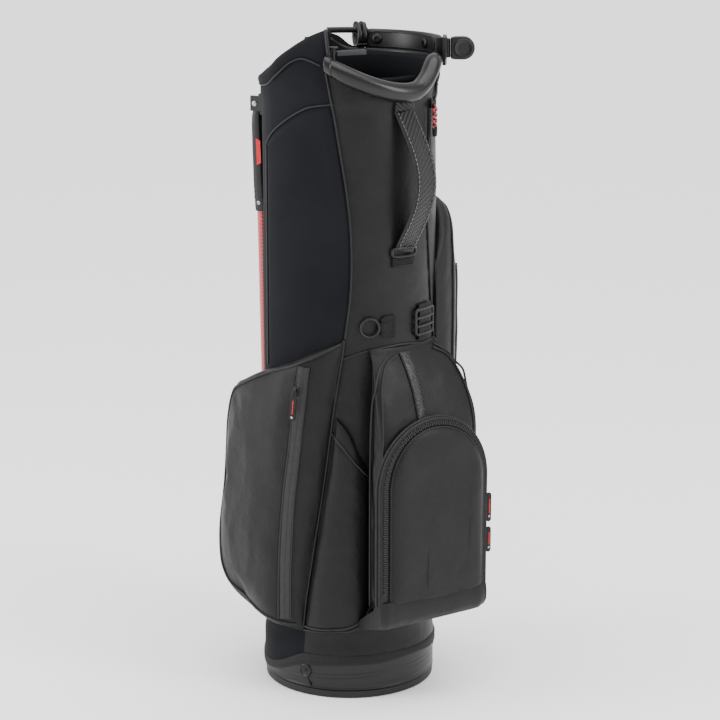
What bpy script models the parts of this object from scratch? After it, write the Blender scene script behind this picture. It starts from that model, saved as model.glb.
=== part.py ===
"""Golf stand bag: leaning tube on a hinged base foot, with two swing-out legs, pockets and a moulded collar.

Metres, +Z up. The origin is the centre of the base foot's underside. The spine (carry side) faces -Y,
the legs are on the +Y side, the large pocket is on -X and the long pocket on +X.
Angles round the bag are called psi: 0 at the spine (-Y), +90 at +X, 180 at the legs (+Y).
"""

import math

import bmesh
import bpy
from mathutils import Matrix, Vector

# Tube of the bag
BODY_R = 0.1125
WALL = 0.004
GAP = 0.0004
TUBE_BOTTOM = 0.0605
TUBE_TOP = 0.7895
SPINE_HALF = 37
SIDE_END = 138
DEG_STEP = 6

# Base
FOOT_R = 0.1125
FOOT_PLATE = 0.003
FOOT_TOP = 0.0100
PIVOT_Y = 0.060
PIVOT_Z = 0.0125
PIN_R = 0.0025
BOOT_R = 0.1130
BOOT_BOTTOM = 0.0112
BOOT_TOP = 0.0600
HEEL_SLOPE = math.radians(25)
RIM_HEIGHT = 0.0125
RIM_TOP = [(0, 0.0605), (66, 0.0580), (75, 0.0505), (90, 0.0360), (110, 0.0280), (130, 0.0340), (150, 0.0455),
           (180, 0.0530)]

# Collar
COLLAR_OUT = 0.1175
COLLAR_IN = 0.1085
COLLAR_BOTTOM = 0.7900
BRIDGE_LOW = 0.836
BRIDGE_HIGH = 0.863

# Legs
LEG_HINGE = (0.0674, 0.1113, 0.772)
LEG_FOOT = (0.0423, 0.1290, 0.038)
LEG_AXIS = (0.89, 0.45, 0.0)
LEG_TUBE_R = 0.0062

# Pockets
POCKET_SKIN = 0.003

# Dividers
DIVIDER_T = 0.0022
DIVIDER_TOP_Z = 0.795
FLOOR_Z = 0.0165

# Base colour, roughness and metallic value
COLOURS = {
    "shell_fabric": ((0.022, 0.022, 0.024, 1), 0.62, 0.0),
    "pad_fabric": ((0.020, 0.021, 0.026, 1), 0.85, 0.0),
    "moulded_black": ((0.018, 0.018, 0.019, 1), 0.38, 0.0),
    "matte_black": ((0.025, 0.025, 0.027, 1), 0.60, 0.0),
    "carbon_red": ((0.45, 0.012, 0.015, 1), 0.30, 0.0),
    "steel": ((0.45, 0.45, 0.46, 1), 0.30, 1.0),
    "rubber": ((0.015, 0.015, 0.015, 1), 0.80, 0.0),
    "webbing": ((0.020, 0.020, 0.022, 1), 0.75, 0.0),
    "accent_red": ((0.60, 0.02, 0.03, 1), 0.50, 0.0),
}


def clear_scene():
    for obj in list(bpy.data.objects):
        bpy.data.objects.remove(obj, do_unlink=True)


def material(slot):
    found = bpy.data.materials.get(slot)
    if found:
        return found
    made = bpy.data.materials.new(slot)
    made.use_nodes = True
    shader = made.node_tree.nodes["Principled BSDF"]
    colour, roughness, metallic = COLOURS[slot]
    shader.inputs["Base Color"].default_value = colour
    shader.inputs["Roughness"].default_value = roughness
    shader.inputs["Metallic"].default_value = metallic
    return made


def polar(psi, radius, z):
    """Point at an angle psi (degrees) round the bag's axis."""
    angle = math.radians(psi)
    return Vector((radius * math.sin(angle), -radius * math.cos(angle), z))


def follow(points, value):
    """Value between (key, value) pairs in rising key order."""
    if value <= points[0][0]:
        return points[0][1]
    for (k0, v0), (k1, v1) in zip(points, points[1:]):
        if value <= k1:
            return v0 + (v1 - v0) * (value - k0) / (k1 - k0)
    return points[-1][1]


def finish_mesh(name, build, slot, origin=(0, 0, 0), smooth_angle=35):
    """Turn a bmesh into a named object whose origin is at the given point."""
    bmesh.ops.recalc_face_normals(build, faces=build.faces)
    if build.calc_volume(signed=True) < 0:
        bmesh.ops.reverse_faces(build, faces=build.faces)
    mesh = bpy.data.meshes.new(name)
    build.to_mesh(mesh)
    build.free()
    origin = Vector(origin)
    mesh.transform(Matrix.Translation(-origin))
    mesh.materials.append(material(slot))
    mesh.shade_smooth()
    mesh.set_sharp_from_angle(angle=math.radians(smooth_angle))
    obj = bpy.data.objects.new(name, mesh)
    obj.location = origin
    bpy.context.scene.collection.objects.link(obj)
    return obj


def loft(name, loops, slot, origin=(0, 0, 0), closed=False):
    """Solid through a row of point loops, capped at both ends unless it closes on itself."""
    build = bmesh.new()
    rings = [[build.verts.new(point) for point in loop] for loop in loops]
    count = len(rings[0])
    pairs = list(zip(rings, rings[1:]))
    if closed:
        pairs.append((rings[-1], rings[0]))
    for near, far in pairs:
        for i in range(count):
            j = (i + 1) % count
            build.faces.new((near[i], near[j], far[j], far[i]))
    if not closed:
        build.faces.new(rings[0][::-1])
        build.faces.new(rings[-1])
    return finish_mesh(name, build, slot, origin)


def steps(start, end, size):
    count = max(1, round(abs(end - start) / size))
    return [start + (end - start) * i / count for i in range(count + 1)]


def wall(name, psi0, psi1, r_in, r_out, low, high, slot, size=DEG_STEP, **more):
    """Curved wall; low and high are heights or functions of psi."""
    low_at = low if callable(low) else lambda psi: low
    high_at = high if callable(high) else lambda psi: high
    loops = []
    for psi in steps(psi0, psi1, size):
        loops.append([
            polar(psi, r_in, low_at(psi)),
            polar(psi, r_out, low_at(psi)),
            polar(psi, r_out, high_at(psi)),
            polar(psi, r_in, high_at(psi)),
        ])
    return loft(name, loops, slot, **more)


def ring(name, r_in, r_out, low, high, slot, sides=48, **more):
    loops = []
    for i in range(sides):
        psi = 360 * i / sides
        corners = ((r_in, low), (r_out, low), (r_out, high), (r_in, high))
        loops.append([polar(psi, radius, z) for radius, z in corners])
    return loft(name, loops, slot, closed=True, **more)


def box(name, low, high, slot, origin=(0, 0, 0), bevel=0.0):
    build = bmesh.new()
    bmesh.ops.create_cube(build, size=1.0)
    low = Vector(low)
    high = Vector(high)
    size = high - low
    for vert in build.verts:
        vert.co = Vector((vert.co.x * size.x, vert.co.y * size.y, vert.co.z * size.z)) + (low + high) / 2
    if bevel:
        bmesh.ops.bevel(build, geom=list(build.edges), offset=bevel, segments=2, profile=0.5, affect="EDGES")
    return finish_mesh(name, build, slot, origin)


def frame_along(direction, up=(0, 0, 1)):
    """Matrix whose Z axis runs along direction."""
    z_axis = Vector(direction).normalized()
    x_axis = Vector(up).cross(z_axis)
    if x_axis.length < 1e-6:
        x_axis = Vector((1, 0, 0))
    x_axis.normalize()
    y_axis = z_axis.cross(x_axis)
    return Matrix((x_axis, y_axis, z_axis)).transposed()


def rod(name, start, end, radius, slot, sides=12, origin=(0, 0, 0), end_radius=None):
    start = Vector(start)
    end = Vector(end)
    turn = frame_along(end - start)
    last = radius if end_radius is None else end_radius
    loops = []
    for point, size in ((start, radius), (end, last)):
        circle = [2 * math.pi * i / sides for i in range(sides)]
        loops.append([point + turn @ Vector((size * math.cos(a), size * math.sin(a), 0)) for a in circle])
    return loft(name, loops, slot, origin)


def sweep(name, points, section, slot, origin=(0, 0, 0), closed=False, up=(0, 0, 1)):
    """Run a section, in (side, up) pairs, along a line of points."""
    points = [Vector(point) for point in points]
    loops = []
    for i, point in enumerate(points):
        before = points[i - 1] if (i or closed) else point
        after = points[(i + 1) % len(points)] if (closed or i < len(points) - 1) else point
        turn = frame_along(after - before, up)
        loops.append([point + turn @ Vector((a, b, 0)) for a, b in section])
    return loft(name, loops, slot, origin, closed=closed)


def circle_section(radius, sides=8):
    angles = [2 * math.pi * i / sides for i in range(sides)]
    return [(radius * math.cos(a), radius * math.sin(a)) for a in angles]


def rect_section(width, height):
    half = width / 2
    rise = height / 2
    return [(-half, -rise), (half, -rise), (half, rise), (-half, rise)]


def cut(target, cutter):
    cutter.hide_render = True
    cutter.display_type = "WIRE"
    step = target.modifiers.new("cut_" + cutter.name, "BOOLEAN")
    step.operation = "DIFFERENCE"
    step.solver = "EXACT"
    step.object = cutter


def join(target, other):
    other.hide_render = True
    other.display_type = "WIRE"
    step = target.modifiers.new("join_" + other.name, "BOOLEAN")
    step.operation = "UNION"
    step.solver = "EXACT"
    step.object = other


# ---------------------------------------------------------------- base

def base_foot():
    """Ground plate with a low wall; two lugs carry the tilt pin."""
    foot = ring("base_foot", 0.1050, FOOT_R, 0.0, FOOT_TOP, "moulded_black", sides=48)
    plate = rod("cut_plate", (0, 0, 0), (0, 0, FOOT_PLATE), 0.1060, "moulded_black", sides=48)
    join(foot, plate)
    for side in (-1, 1):
        lug = box(f"cut_lug_{side}", (side * 0.045 - 0.006, PIVOT_Y - 0.006, 0.001),
                  (side * 0.045 + 0.006, PIVOT_Y + 0.006, PIVOT_Z + 0.006), "moulded_black")
        join(foot, lug)
    bore = rod("cut_foot_bore", (-0.06, PIVOT_Y, PIVOT_Z), (0.06, PIVOT_Y, PIVOT_Z), PIN_R + 0.0002,
               "moulded_black", sides=16)
    cut(foot, bore)


def tilt_pin():
    rod("tilt_pin", (-0.052, PIVOT_Y, PIVOT_Z), (0.052, PIVOT_Y, PIVOT_Z), PIN_R, "steel", sides=16)


def heel_wedge(name, lift):
    """Everything behind the tilt pin and below a slope that rises towards the legs."""
    reach = 0.09
    start = PIVOT_Y - 0.008
    rise = reach * math.tan(HEEL_SLOPE)
    loops = []
    for x in (-0.15, 0.15):
        loops.append([
            Vector((x, start, -0.02)),
            Vector((x, start + reach, -0.02)),
            Vector((x, start + reach, BOOT_BOTTOM + lift + rise)),
            Vector((x, start, BOOT_BOTTOM + lift)),
        ])
    return loft(name, loops, "moulded_black")


def base_boot():
    """Moulded cup at the bottom of the tube, with a bevelled heel and a pivot block between the lugs."""
    boot = rod("base_boot", (0, 0, BOOT_BOTTOM), (0, 0, BOOT_TOP), BOOT_R, "moulded_black", sides=60)
    inside = rod("cut_boot_inside", (0, 0, FLOOR_Z), (0, 0, BOOT_TOP + 0.02), BOOT_R - 0.004,
                 "moulded_black", sides=60)
    cut(inside, heel_wedge("cut_heel_floor", FLOOR_Z - BOOT_BOTTOM + 0.001))
    cut(boot, inside)
    cut(boot, heel_wedge("cut_heel", 0.0))
    housing = box("cut_housing", (-0.062, PIVOT_Y - 0.012, BOOT_BOTTOM + 0.001),
                  (0.062, PIVOT_Y + 0.012, 0.024), "moulded_black")
    join(boot, housing)
    for side in (-1, 1):
        room = box(f"cut_lug_room_{side}", (side * 0.045 - 0.0085, PIVOT_Y - 0.0095, 0.0),
                   (side * 0.045 + 0.0085, PIVOT_Y + 0.0095, PIVOT_Z + 0.0078), "moulded_black")
        cut(boot, room)
    slot = box("cut_pin_slot", (-0.0545, PIVOT_Y - PIN_R - 0.0003, 0.0),
               (0.0545, PIVOT_Y + PIN_R + 0.0003, PIVOT_Z + PIN_R + 0.0003), "moulded_black")
    cut(boot, slot)


def rim_top(psi):
    """Height of the boot's rim: high at the spine, low at the sides, and above the cut-away heel."""
    turn = 360 - psi if psi > 180 else psi
    return follow(RIM_TOP, turn)


def boot_trim():
    loops = []
    for psi in steps(0, 354, 6):
        top = rim_top(psi)
        low = top - RIM_HEIGHT
        inner = BOOT_R + GAP
        outer = BOOT_R + 0.0035
        corners = ((inner, low), (outer, low), (outer, top), (inner, top))
        loops.append([polar(psi, radius, z) for radius, z in corners])
    loft("boot_trim_band", loops, "moulded_black", closed=True)
    for name, psi in (("boot_boss_left", -66), ("boot_boss_right", 66)):
        rod(name, polar(psi, BOOT_R + GAP, 0.034), polar(psi, BOOT_R + 0.0040, 0.034), 0.0095,
            "moulded_black", sides=20, end_radius=0.0080)


# ---------------------------------------------------------------- tube

def tube_panels():
    half_gap = 0.10
    spans = {
        "spine_panel": (-SPINE_HALF, SPINE_HALF),
        "left_panel": (-SIDE_END, -SPINE_HALF),
        "right_panel": (SPINE_HALF, SIDE_END),
        "leg_side_panel": (SIDE_END, 360 - SIDE_END),
    }
    for name, (psi0, psi1) in spans.items():
        wall(name, psi0 + half_gap, psi1 - half_gap, BODY_R - WALL, BODY_R, TUBE_BOTTOM + 0.0003, TUBE_TOP,
             "shell_fabric")


def stays():
    for name, psi in (("stay_left", -90), ("stay_right", 90)):
        start = polar(psi, 0.1040, 0.0175)
        rod(name, start, polar(psi, 0.1040, TUBE_TOP), 0.0030, "steel", sides=8)


def dividers():
    """Full-length cross of fabric sheets under a moulded four-way top."""
    reach = 0.0995
    low = 0.045
    high = DIVIDER_TOP_Z - GAP
    box("divider_cross", (-reach, -DIVIDER_T / 2, low), (reach, DIVIDER_T / 2, high), "pad_fabric")
    half = DIVIDER_T / 2
    box("divider_front", (-half, -0.1070, low), (half, -half - GAP, high), "pad_fabric")
    box("divider_rear", (-half, half + GAP, low), (half, 0.1070, high), "pad_fabric")


def divider_top():
    """Padded grid that rims the club compartments."""
    top = DIVIDER_TOP_Z + 0.012
    low = DIVIDER_TOP_Z
    grid = box("divider_top", (-0.1078, -0.0045, low), (0.1078, 0.0045, top), "pad_fabric", bevel=0.003)
    bar = box("join_divider_bar", (-0.0045, -0.1078, low), (0.0045, 0.1078, top), "pad_fabric", bevel=0.003)
    join(grid, bar)


# ---------------------------------------------------------------- collar

LIP_LINE = [(-50, 0.8440), (-38, 0.8310), (-20, 0.8150), (-5, 0.8070), (8, 0.8070), (16, 0.8150), (24, 0.8280),
            (32, 0.8370), (42, 0.8430), (50, 0.8440)]
SHOULDER_TOP = [(-202, 0.862), (-190, 0.852), (-178, 0.838), (-165, 0.822), (-150, 0.812), (-125, 0.812),
                (-100, 0.822), (-90, 0.835), (-80, 0.850), (-70, 0.863), (-60, 0.875), (-50, 0.884)]
SHOULDER_SEAM = [(-202, 0.806), (-100, 0.804), (-86, 0.820), (-74, 0.838), (-66, 0.844), (-50, 0.835)]


def collar_frame():
    """Moulded ring inside the top of the tube; the lip, pads, rail and bridge fasten to it."""
    def top(psi):
        if psi > 180:
            psi -= 360
        if abs(psi) <= 50:
            return follow(LIP_LINE, psi) - 0.0105
        if psi < 0:
            return follow(SHOULDER_SEAM, psi) - 0.004
        return follow([(50, 0.831), (62, 0.829), (70, 0.828), (150, 0.828), (158, 0.802)], psi)
    loops = []
    count = 60
    for i in range(count):
        psi = 360 * i / count
        loops.append([
            polar(psi, COLLAR_IN, COLLAR_BOTTOM),
            polar(psi, BODY_R + 0.0005, COLLAR_BOTTOM),
            polar(psi, BODY_R + 0.0005, top(psi)),
            polar(psi, COLLAR_IN, top(psi)),
        ])
    loft("collar_frame", loops, "moulded_black", closed=True)


def spine_lip():
    """Thick rolled lip over the spine, dipping at its middle."""
    points = []
    for psi in steps(-49.5, 61, 5):
        height = follow(LIP_LINE + [(61, 0.845)], psi)
        points.append(polar(psi, 0.1210, height))
    angles = [2 * math.pi * i / 14 for i in range(14)]
    section = [(0.0095 * math.cos(a), 0.0100 * math.sin(a)) for a in angles]
    sweep("spine_lip", points, section, "moulded_black")


def shoulder_pads():
    """Padded wraps round the rim on both sides of the mouth."""
    wall("left_shoulder_pad", -201, -53.5, BODY_R + 0.0010, COLLAR_OUT + 0.002,
         lambda psi: follow(SHOULDER_SEAM, psi) - 0.001, lambda psi: follow(SHOULDER_TOP, psi), "pad_fabric")
    wall("right_shoulder_pad", 63.5, 158, BODY_R + 0.0010, COLLAR_OUT, 0.800, 0.832, "pad_fabric")


def rear_rail():
    """Thin rail that bounds the hand gap beside the bridge."""
    wall("rear_rail", 146.5, 158.5, 0.1130, 0.1195, 0.8565, 0.8650, "moulded_black", size=4)


def strap_bridge():
    """Curved band that carries the clip and the swivel ear, bolted through its face."""
    loops = []
    for psi in steps(64, 134, 5):
        loops.append([
            polar(psi, 0.1125, BRIDGE_LOW + 0.002),
            polar(psi, 0.1210, BRIDGE_LOW - 0.002),
            polar(psi, 0.1230, BRIDGE_HIGH - 0.003),
            polar(psi, 0.1200, BRIDGE_HIGH),
            polar(psi, 0.1150, BRIDGE_HIGH),
            polar(psi, 0.1125, BRIDGE_HIGH - 0.003),
        ])
    bridge = loft("strap_bridge", loops, "moulded_black")
    for name, psi in (("bridge_bolt_front", 70), ("bridge_bolt_rear", 124)):
        rod(name, polar(psi, 0.1118, 0.8500), polar(psi, 0.1092, 0.8500), 0.0060, "steel", sides=12, end_radius=0.0045)
    return bridge


def club_clip():
    """Open C-shaped clip at the rear end of the bridge, mouth upwards."""
    centre = polar(138.5, 0.1215, 0.8525)
    across = polar(138.5 + 90, 1.0, 0.0)
    across.z = 0
    out = polar(138.5, 1.0, 0.0)
    out.z = 0
    loops = []
    for angle in steps(90 + 22, 450 - 22, 18):
        rad = math.radians(angle)
        direction = out * math.cos(rad) + Vector((0, 0, 1)) * math.sin(rad)
        inner = centre + direction * 0.0125
        outer = centre + direction * 0.0175
        half = across * 0.0045
        loops.append([inner - half, outer - half, outer + half, inner + half])
    loft("club_clip", loops, "moulded_black")


EAR_HINGE = (0.1170, -0.0560, 0.8470)
EAR_OUT = (0.819, -0.574, 0.0)


def swivel_ear():
    """Round-ended paddle on a pin at the front end of the bridge, for the shoulder strap."""
    out = Vector(EAR_OUT)
    side = Vector((0.574, 0.819, 0))
    hinge = Vector(EAR_HINGE)
    outline = []
    for angle in steps(-90, 90, 15):
        rad = math.radians(angle)
        outline.append((0.0200 + 0.0150 * math.cos(rad), 0.0150 * math.sin(rad)))
    outline += [(0.0085, 0.0150), (0.0036, 0.0110), (0.0036, -0.0110), (0.0085, -0.0150)]
    loops = []
    for depth in (-0.0060, 0.0060):
        loops.append([hinge + out * a + Vector((0, 0, b)) + side * depth for a, b in outline])
    loft("swivel_ear", loops, "moulded_black", origin=EAR_HINGE)
    loops = []
    for distance in (-0.0150, -0.0006):
        centre = hinge + out * distance
        loops.append([centre + side * a + Vector((0, 0, b)) for a, b in rect_section(0.0120, 0.0220)])
    block = loft("join_ear_block", loops, "moulded_black")
    low = hinge - Vector((0, 0, 0.0105))
    return block, rod("join_ear_knuckle", low, low + Vector((0, 0, 0.0210)), 0.0030, "moulded_black", sides=16)


LATCH_HINGE = (-0.0775, -0.0755, 0.8530)


def latch_bar():
    """Short flat bar hinged at the left end of the lip."""
    hinge = Vector(LATCH_HINGE)
    along = Vector((0.80, -0.10, 0)).normalized()
    points = [hinge + along * 0.0034, hinge + along * 0.0455]
    sweep("latch_bar", points, rect_section(0.0100, 0.0050), "matte_black", origin=LATCH_HINGE)
    rod("latch_knuckle", hinge - Vector((0, 0, 0.0190)), hinge + Vector((0, 0, 0.0060)), 0.0028,
        "moulded_black", sides=12)


# ---------------------------------------------------------------- pads and pockets

PAD_TOP = [(-103, 0.735), (-95, 0.746), (-83, 0.763), (-70, 0.779), (-61, 0.786), (-50, 0.789)]


def hip_pad():
    wall("hip_pad", -103, -41, BODY_R + GAP, BODY_R + 0.0032, 0.500, lambda psi: follow(PAD_TOP, psi) - 0.004,
         "pad_fabric")


def swell(v, power):
    """Height profile of a stuffed panel: 0 at its edges and 1 over most of its middle."""
    return (1 - abs(2 * v - 1) ** power) ** (1 / power)


def pocket(name, outline, low, high, slot="shell_fabric", power=6.0, rows=8, depth_at=None, warp=None):
    """Stuffed pocket on the tube; outline holds (x, y) points of its fullest section, first to last round psi."""
    inner = BODY_R + GAP
    if warp is None:
        warp = no_warp
    flat = []
    for x, y in outline:
        flat.append((math.degrees(math.atan2(x, -y)), math.hypot(x, y)))
    if flat[-1][0] < flat[0][0]:
        flat = flat[::-1]
    loops = []
    for i in range(rows + 1):
        v = 0.5 - 0.5 * math.cos(math.pi * i / rows)
        fullness = swell(v, power) if depth_at is None else depth_at(v)
        loop = []
        for psi, radius in flat:
            height = low(psi) + (high(psi) - low(psi)) * v
            reach = inner + POCKET_SKIN + max(radius - inner - POCKET_SKIN, 0.0) * fullness
            loop.append(polar(warp(psi, height), reach, height))
        for psi in steps(flat[-1][0], flat[0][0], 8):
            height = low(psi) + (high(psi) - low(psi)) * v
            loop.append(polar(warp(psi, height), inner, height))
        loops.append(loop)
    return loft(name, loops, slot)


def no_warp(psi, height):
    return psi


def front_edge(height):
    """Angle of the large pocket's front edge, which slants back towards its bottom."""
    return follow([(0.090, -66), (0.200, -59), (0.300, -51), (0.420, -43), (0.490, -39)], height)


def large_pocket_warp(psi, height):
    back = -130.0
    return back + (psi - back) * (front_edge(height) - back) / (-39.0 - back)


def patch_warp(psi, height):
    return PATCH_END + (psi - PATCH_END) * (front_edge(height) + 1.6 - PATCH_END) / (-64.0 - PATCH_END)


LEFT_OUTLINE = [(-0.0740, -0.0900), (-0.0980, -0.0880), (-0.1240, -0.0740), (-0.1410, -0.0480), (-0.1520, -0.0100),
                (-0.1580, 0.0300), (-0.1600, 0.0620), (-0.1540, 0.0880), (-0.1380, 0.0980), (-0.1180, 0.0860),
                (-0.0990, 0.0640)]
LEFT_TOP = [(-130, 0.405), (-115, 0.418), (-95, 0.438), (-70, 0.458), (-60, 0.468), (-39, 0.488)]
LEFT_LOW = [(-130, 0.150), (-118, 0.125), (-100, 0.108), (-70, 0.098), (-39, 0.088)]
RIGHT_OUTLINE = [(0.0790, -0.0885), (0.1000, -0.0860), (0.1270, -0.0700), (0.1430, -0.0380), (0.1500, 0.0000),
                 (0.1500, 0.0350), (0.1400, 0.0650), (0.1220, 0.0740), (0.1020, 0.0600)]
RIGHT_TOP = [(40, 0.560), (55, 0.620), (75, 0.648), (105, 0.650), (120, 0.640)]
BALL_OUTLINE = [(-0.0385, -0.1080), (-0.0500, -0.1240), (-0.0590, -0.1400), (-0.0580, -0.1530), (-0.0400, -0.1580),
                (0.0150, -0.1580), (0.0740, -0.1580), (0.0970, -0.1530), (0.1050, -0.1400), (0.0980, -0.1160),
                (0.0690, -0.0940)]
BALL_LOW = 0.128
BALL_HIGH = 0.476


def left_depth(v):
    """Fullest below the middle, nearer the tube towards the top."""
    full = min(max((v - 0.30) / 0.70, 0.0), 1.0)
    return swell(v, 7.0) * (1.0 - 0.32 * full ** 1.4)


def dome(v):
    """Upright below, rounding over towards the top."""
    if v < 0.62:
        return swell(min(v / 0.62 * 0.5 + 0.02, 1.0), 8.0)
    return max(1 - ((v - 0.62) / 0.38) ** 2.0, 0.0) ** 0.75


def pockets():
    pocket("left_pocket", LEFT_OUTLINE, lambda psi: follow(LEFT_LOW, psi), lambda psi: follow(LEFT_TOP, psi),
           rows=12, depth_at=left_depth, warp=large_pocket_warp)
    pocket("right_pocket", RIGHT_OUTLINE, lambda psi: 0.090, lambda psi: follow(RIGHT_TOP, psi), power=4.0,
           rows=10)
    pocket("ball_pocket", BALL_OUTLINE, lambda psi: BALL_LOW, lambda psi: BALL_HIGH, rows=12, depth_at=dome)


PATCH_RING = [(-64.0, 0.1160), (-60.0, 0.1210), (-52.0, 0.1245), (-38.0, 0.1255), (-27.0, 0.1230), (-22.5, 0.1165)]
PATCH_TOP = [(-64, 0.385), (-44, 0.364), (-28, 0.324), (-20, 0.311)]
PATCH_END = -22.5


def patch_pocket():
    """Small slip pocket with a slanted mouth between the large pocket and the ball pocket."""
    outline = [polar(psi, radius, 0).xy for psi, radius in PATCH_RING]
    pocket("patch_pocket", outline, lambda psi: 0.095, lambda psi: follow(PATCH_TOP, psi), rows=6, warp=patch_warp)


def arch_panel():
    """Zipped front of the ball pocket: an arch-topped lid standing proud of it."""
    left, right = -0.0700, 0.1050
    bottom, spring, crown = 0.150, 0.300, 0.389
    outline = [(left, bottom), (left, 0.220)]
    middle = (left + right) / 2
    half = (right - left) / 2
    for angle in steps(180, 0, 15):
        rad = math.radians(angle)
        outline.append((middle + half * math.cos(rad), spring + (crown - spring) * math.sin(rad)))
    outline += [(right, 0.220), (right, bottom)]
    loops = []
    for y, inset in ((-0.1590, 0.0), (-0.1660, 0.0015), (-0.1720, 0.0080)):
        loop = []
        for x, z in outline:
            across = middle + (x - middle) * (1 - inset / half)
            height = bottom + (z - bottom) * (1 - inset / 0.2)
            loop.append(Vector((across, y, height)))
        loops.append(loop)
    loft("ball_pocket_lid", loops, "shell_fabric")


def ball_base_band():
    """Fabric skirt under the ball pocket's lid."""
    box("ball_pocket_skirt", (-0.0680, -0.1700, 0.1200), (0.1030, -0.1590, 0.1490), "shell_fabric", bevel=0.002)


# ---------------------------------------------------------------- handle and straps

def carry_handle():
    """Woven strap on the spine that bows away from the tube."""
    points = []
    for t in [i / 16 for i in range(17)]:
        z = 0.779 - 0.1780 * t
        bow = math.sin(math.pi * t)
        points.append(Vector((0.004 + 0.012 * bow, -(BODY_R + 0.0035 + 0.030 * bow ** 1.2), z)))
    sweep("carry_handle", points, rect_section(0.0040, 0.0280), "webbing", up=(1, 0, 0))
    box("handle_anchor_low", (-0.014, -BODY_R - 0.0060, 0.5800), (0.022, -BODY_R - 0.0004, 0.5935), "webbing",
        bevel=0.001)


D_RING_PSI = -22


def d_ring():
    """Swinging ring on its tab, beside the spine."""
    centre = polar(D_RING_PSI, BODY_R + 0.0050, 0.5040)
    across = polar(D_RING_PSI + 90, 1.0, 0.0)
    across.z = 0
    points = []
    for angle in steps(0, 345, 15):
        rad = math.radians(angle)
        points.append(centre + across * 0.0120 * math.cos(rad) + Vector((0, 0, 0.0120 * math.sin(rad))))
    hinge = centre + across * 0.0120
    sweep("d_ring", points, circle_section(0.0017, 8), "matte_black", origin=hinge, closed=True,
          up=polar(D_RING_PSI, 1.0, 0.0))
    loops = []
    for psi in (-14.3, -5.0):
        loops.append([polar(psi, BODY_R + GAP, 0.489), polar(psi, BODY_R + 0.0040, 0.489),
                      polar(psi, BODY_R + 0.0040, 0.519), polar(psi, BODY_R + GAP, 0.519)])
    loft("d_ring_tab", loops, "webbing")


def strap_buckle():
    """Rectangular ladder buckle for the lower strap end, on the other side of the spine."""
    outer = wall("strap_buckle", 12, 34, BODY_R + GAP, BODY_R + 0.0045, 0.486, 0.520, "matte_black")
    for low, high in ((0.4905, 0.5015), (0.5045, 0.5155)):
        cut(outer, wall(f"cut_buckle_{low}", 15, 31, BODY_R - 0.002, BODY_R + 0.010, low, high, "matte_black"))


# ---------------------------------------------------------------- zips

def left_zip():
    """Vertical zip on the large pocket: tape strip, slider and hanging pull."""
    normal = Vector((-0.905, -0.425, 0))
    along = Vector((-0.0125, 0.0260, -0.3000)).normalized()
    top = Vector((-0.1300, -0.0715, 0.4380))
    across = along.cross(normal).normalized()
    slider = top + normal * 0.0030 + along * 0.0120
    loops = []
    for distance in (-0.0060, 0.0060):
        centre = slider + along * distance
        loops.append([centre + across * a + normal * b for a, b in rect_section(0.0080, 0.0036)])
    loft("left_zip_slider", loops, "matte_black")
    pull_top = slider + normal * 0.0042
    loops = []
    for distance in (0.0, 0.0380):
        centre = pull_top + along * distance + normal * 0.0004
        loops.append([centre + across * a + normal * b for a, b in rect_section(0.0085, 0.0024)])
    loft("left_zip_pull", loops, "rubber", origin=pull_top)


def right_zip():
    """Zip pulls hanging at the right edge of the ball pocket, and the slider and pull of the long pocket."""
    for name, low, high in (("ball_zip_pull_upper", 0.232, 0.272), ("ball_zip_pull_lower", 0.190, 0.225)):
        box(name, (0.1070, -0.1640, low), (0.1145, -0.1610, high), "rubber", origin=(0.1108, -0.1625, high))
    middle = polar(30, BODY_R + 0.0040, 0)
    x = middle.x
    y = middle.y
    box("right_zip_slider", (x - 0.004, y - 0.004, 0.7780), (x + 0.004, y, 0.7880), "matte_black")
    box("right_zip_pull", (x - 0.0035, y - 0.0080, 0.7420), (x + 0.0035, y - 0.0044, 0.7840), "accent_red",
        origin=(x, y - 0.0060, 0.7840))


# ---------------------------------------------------------------- legs

def mirror(point, side):
    return Vector((point[0] * side, point[1], point[2]))


def oriented_block(name, centre, across, out, size, slot):
    """Block with its width along across, its depth along out and its height up."""
    loops = []
    for depth in (-size[1] / 2, size[1] / 2):
        middle = centre + out * depth
        loops.append([middle + across * a + Vector((0, 0, b)) for a, b in rect_section(size[0], size[2])])
    return loft(name, loops, slot)


def leg_bracket(hinge, axis, out, label):
    """Clevis on the tube: a back plate with an ear at each side of the leg."""
    out = Vector((out.x, out.y, 0)).normalized()
    bracket = oriented_block(f"leg_bracket_{label}", hinge - out * 0.0105, axis, out, (0.0260, 0.0040, 0.0280),
                             "moulded_black")
    for offset in (-0.0105, 0.0105):
        ear = oriented_block(f"join_ear_{label}_{offset}", hinge + axis * offset - out * 0.0030, axis, out,
                             (0.0040, 0.0190, 0.0200), "moulded_black")
        join(bracket, ear)
    bore = rod(f"cut_bracket_{label}", hinge - axis * 0.02, hinge + axis * 0.02, 0.0025, "moulded_black", sides=16)
    cut(bracket, bore)


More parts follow.
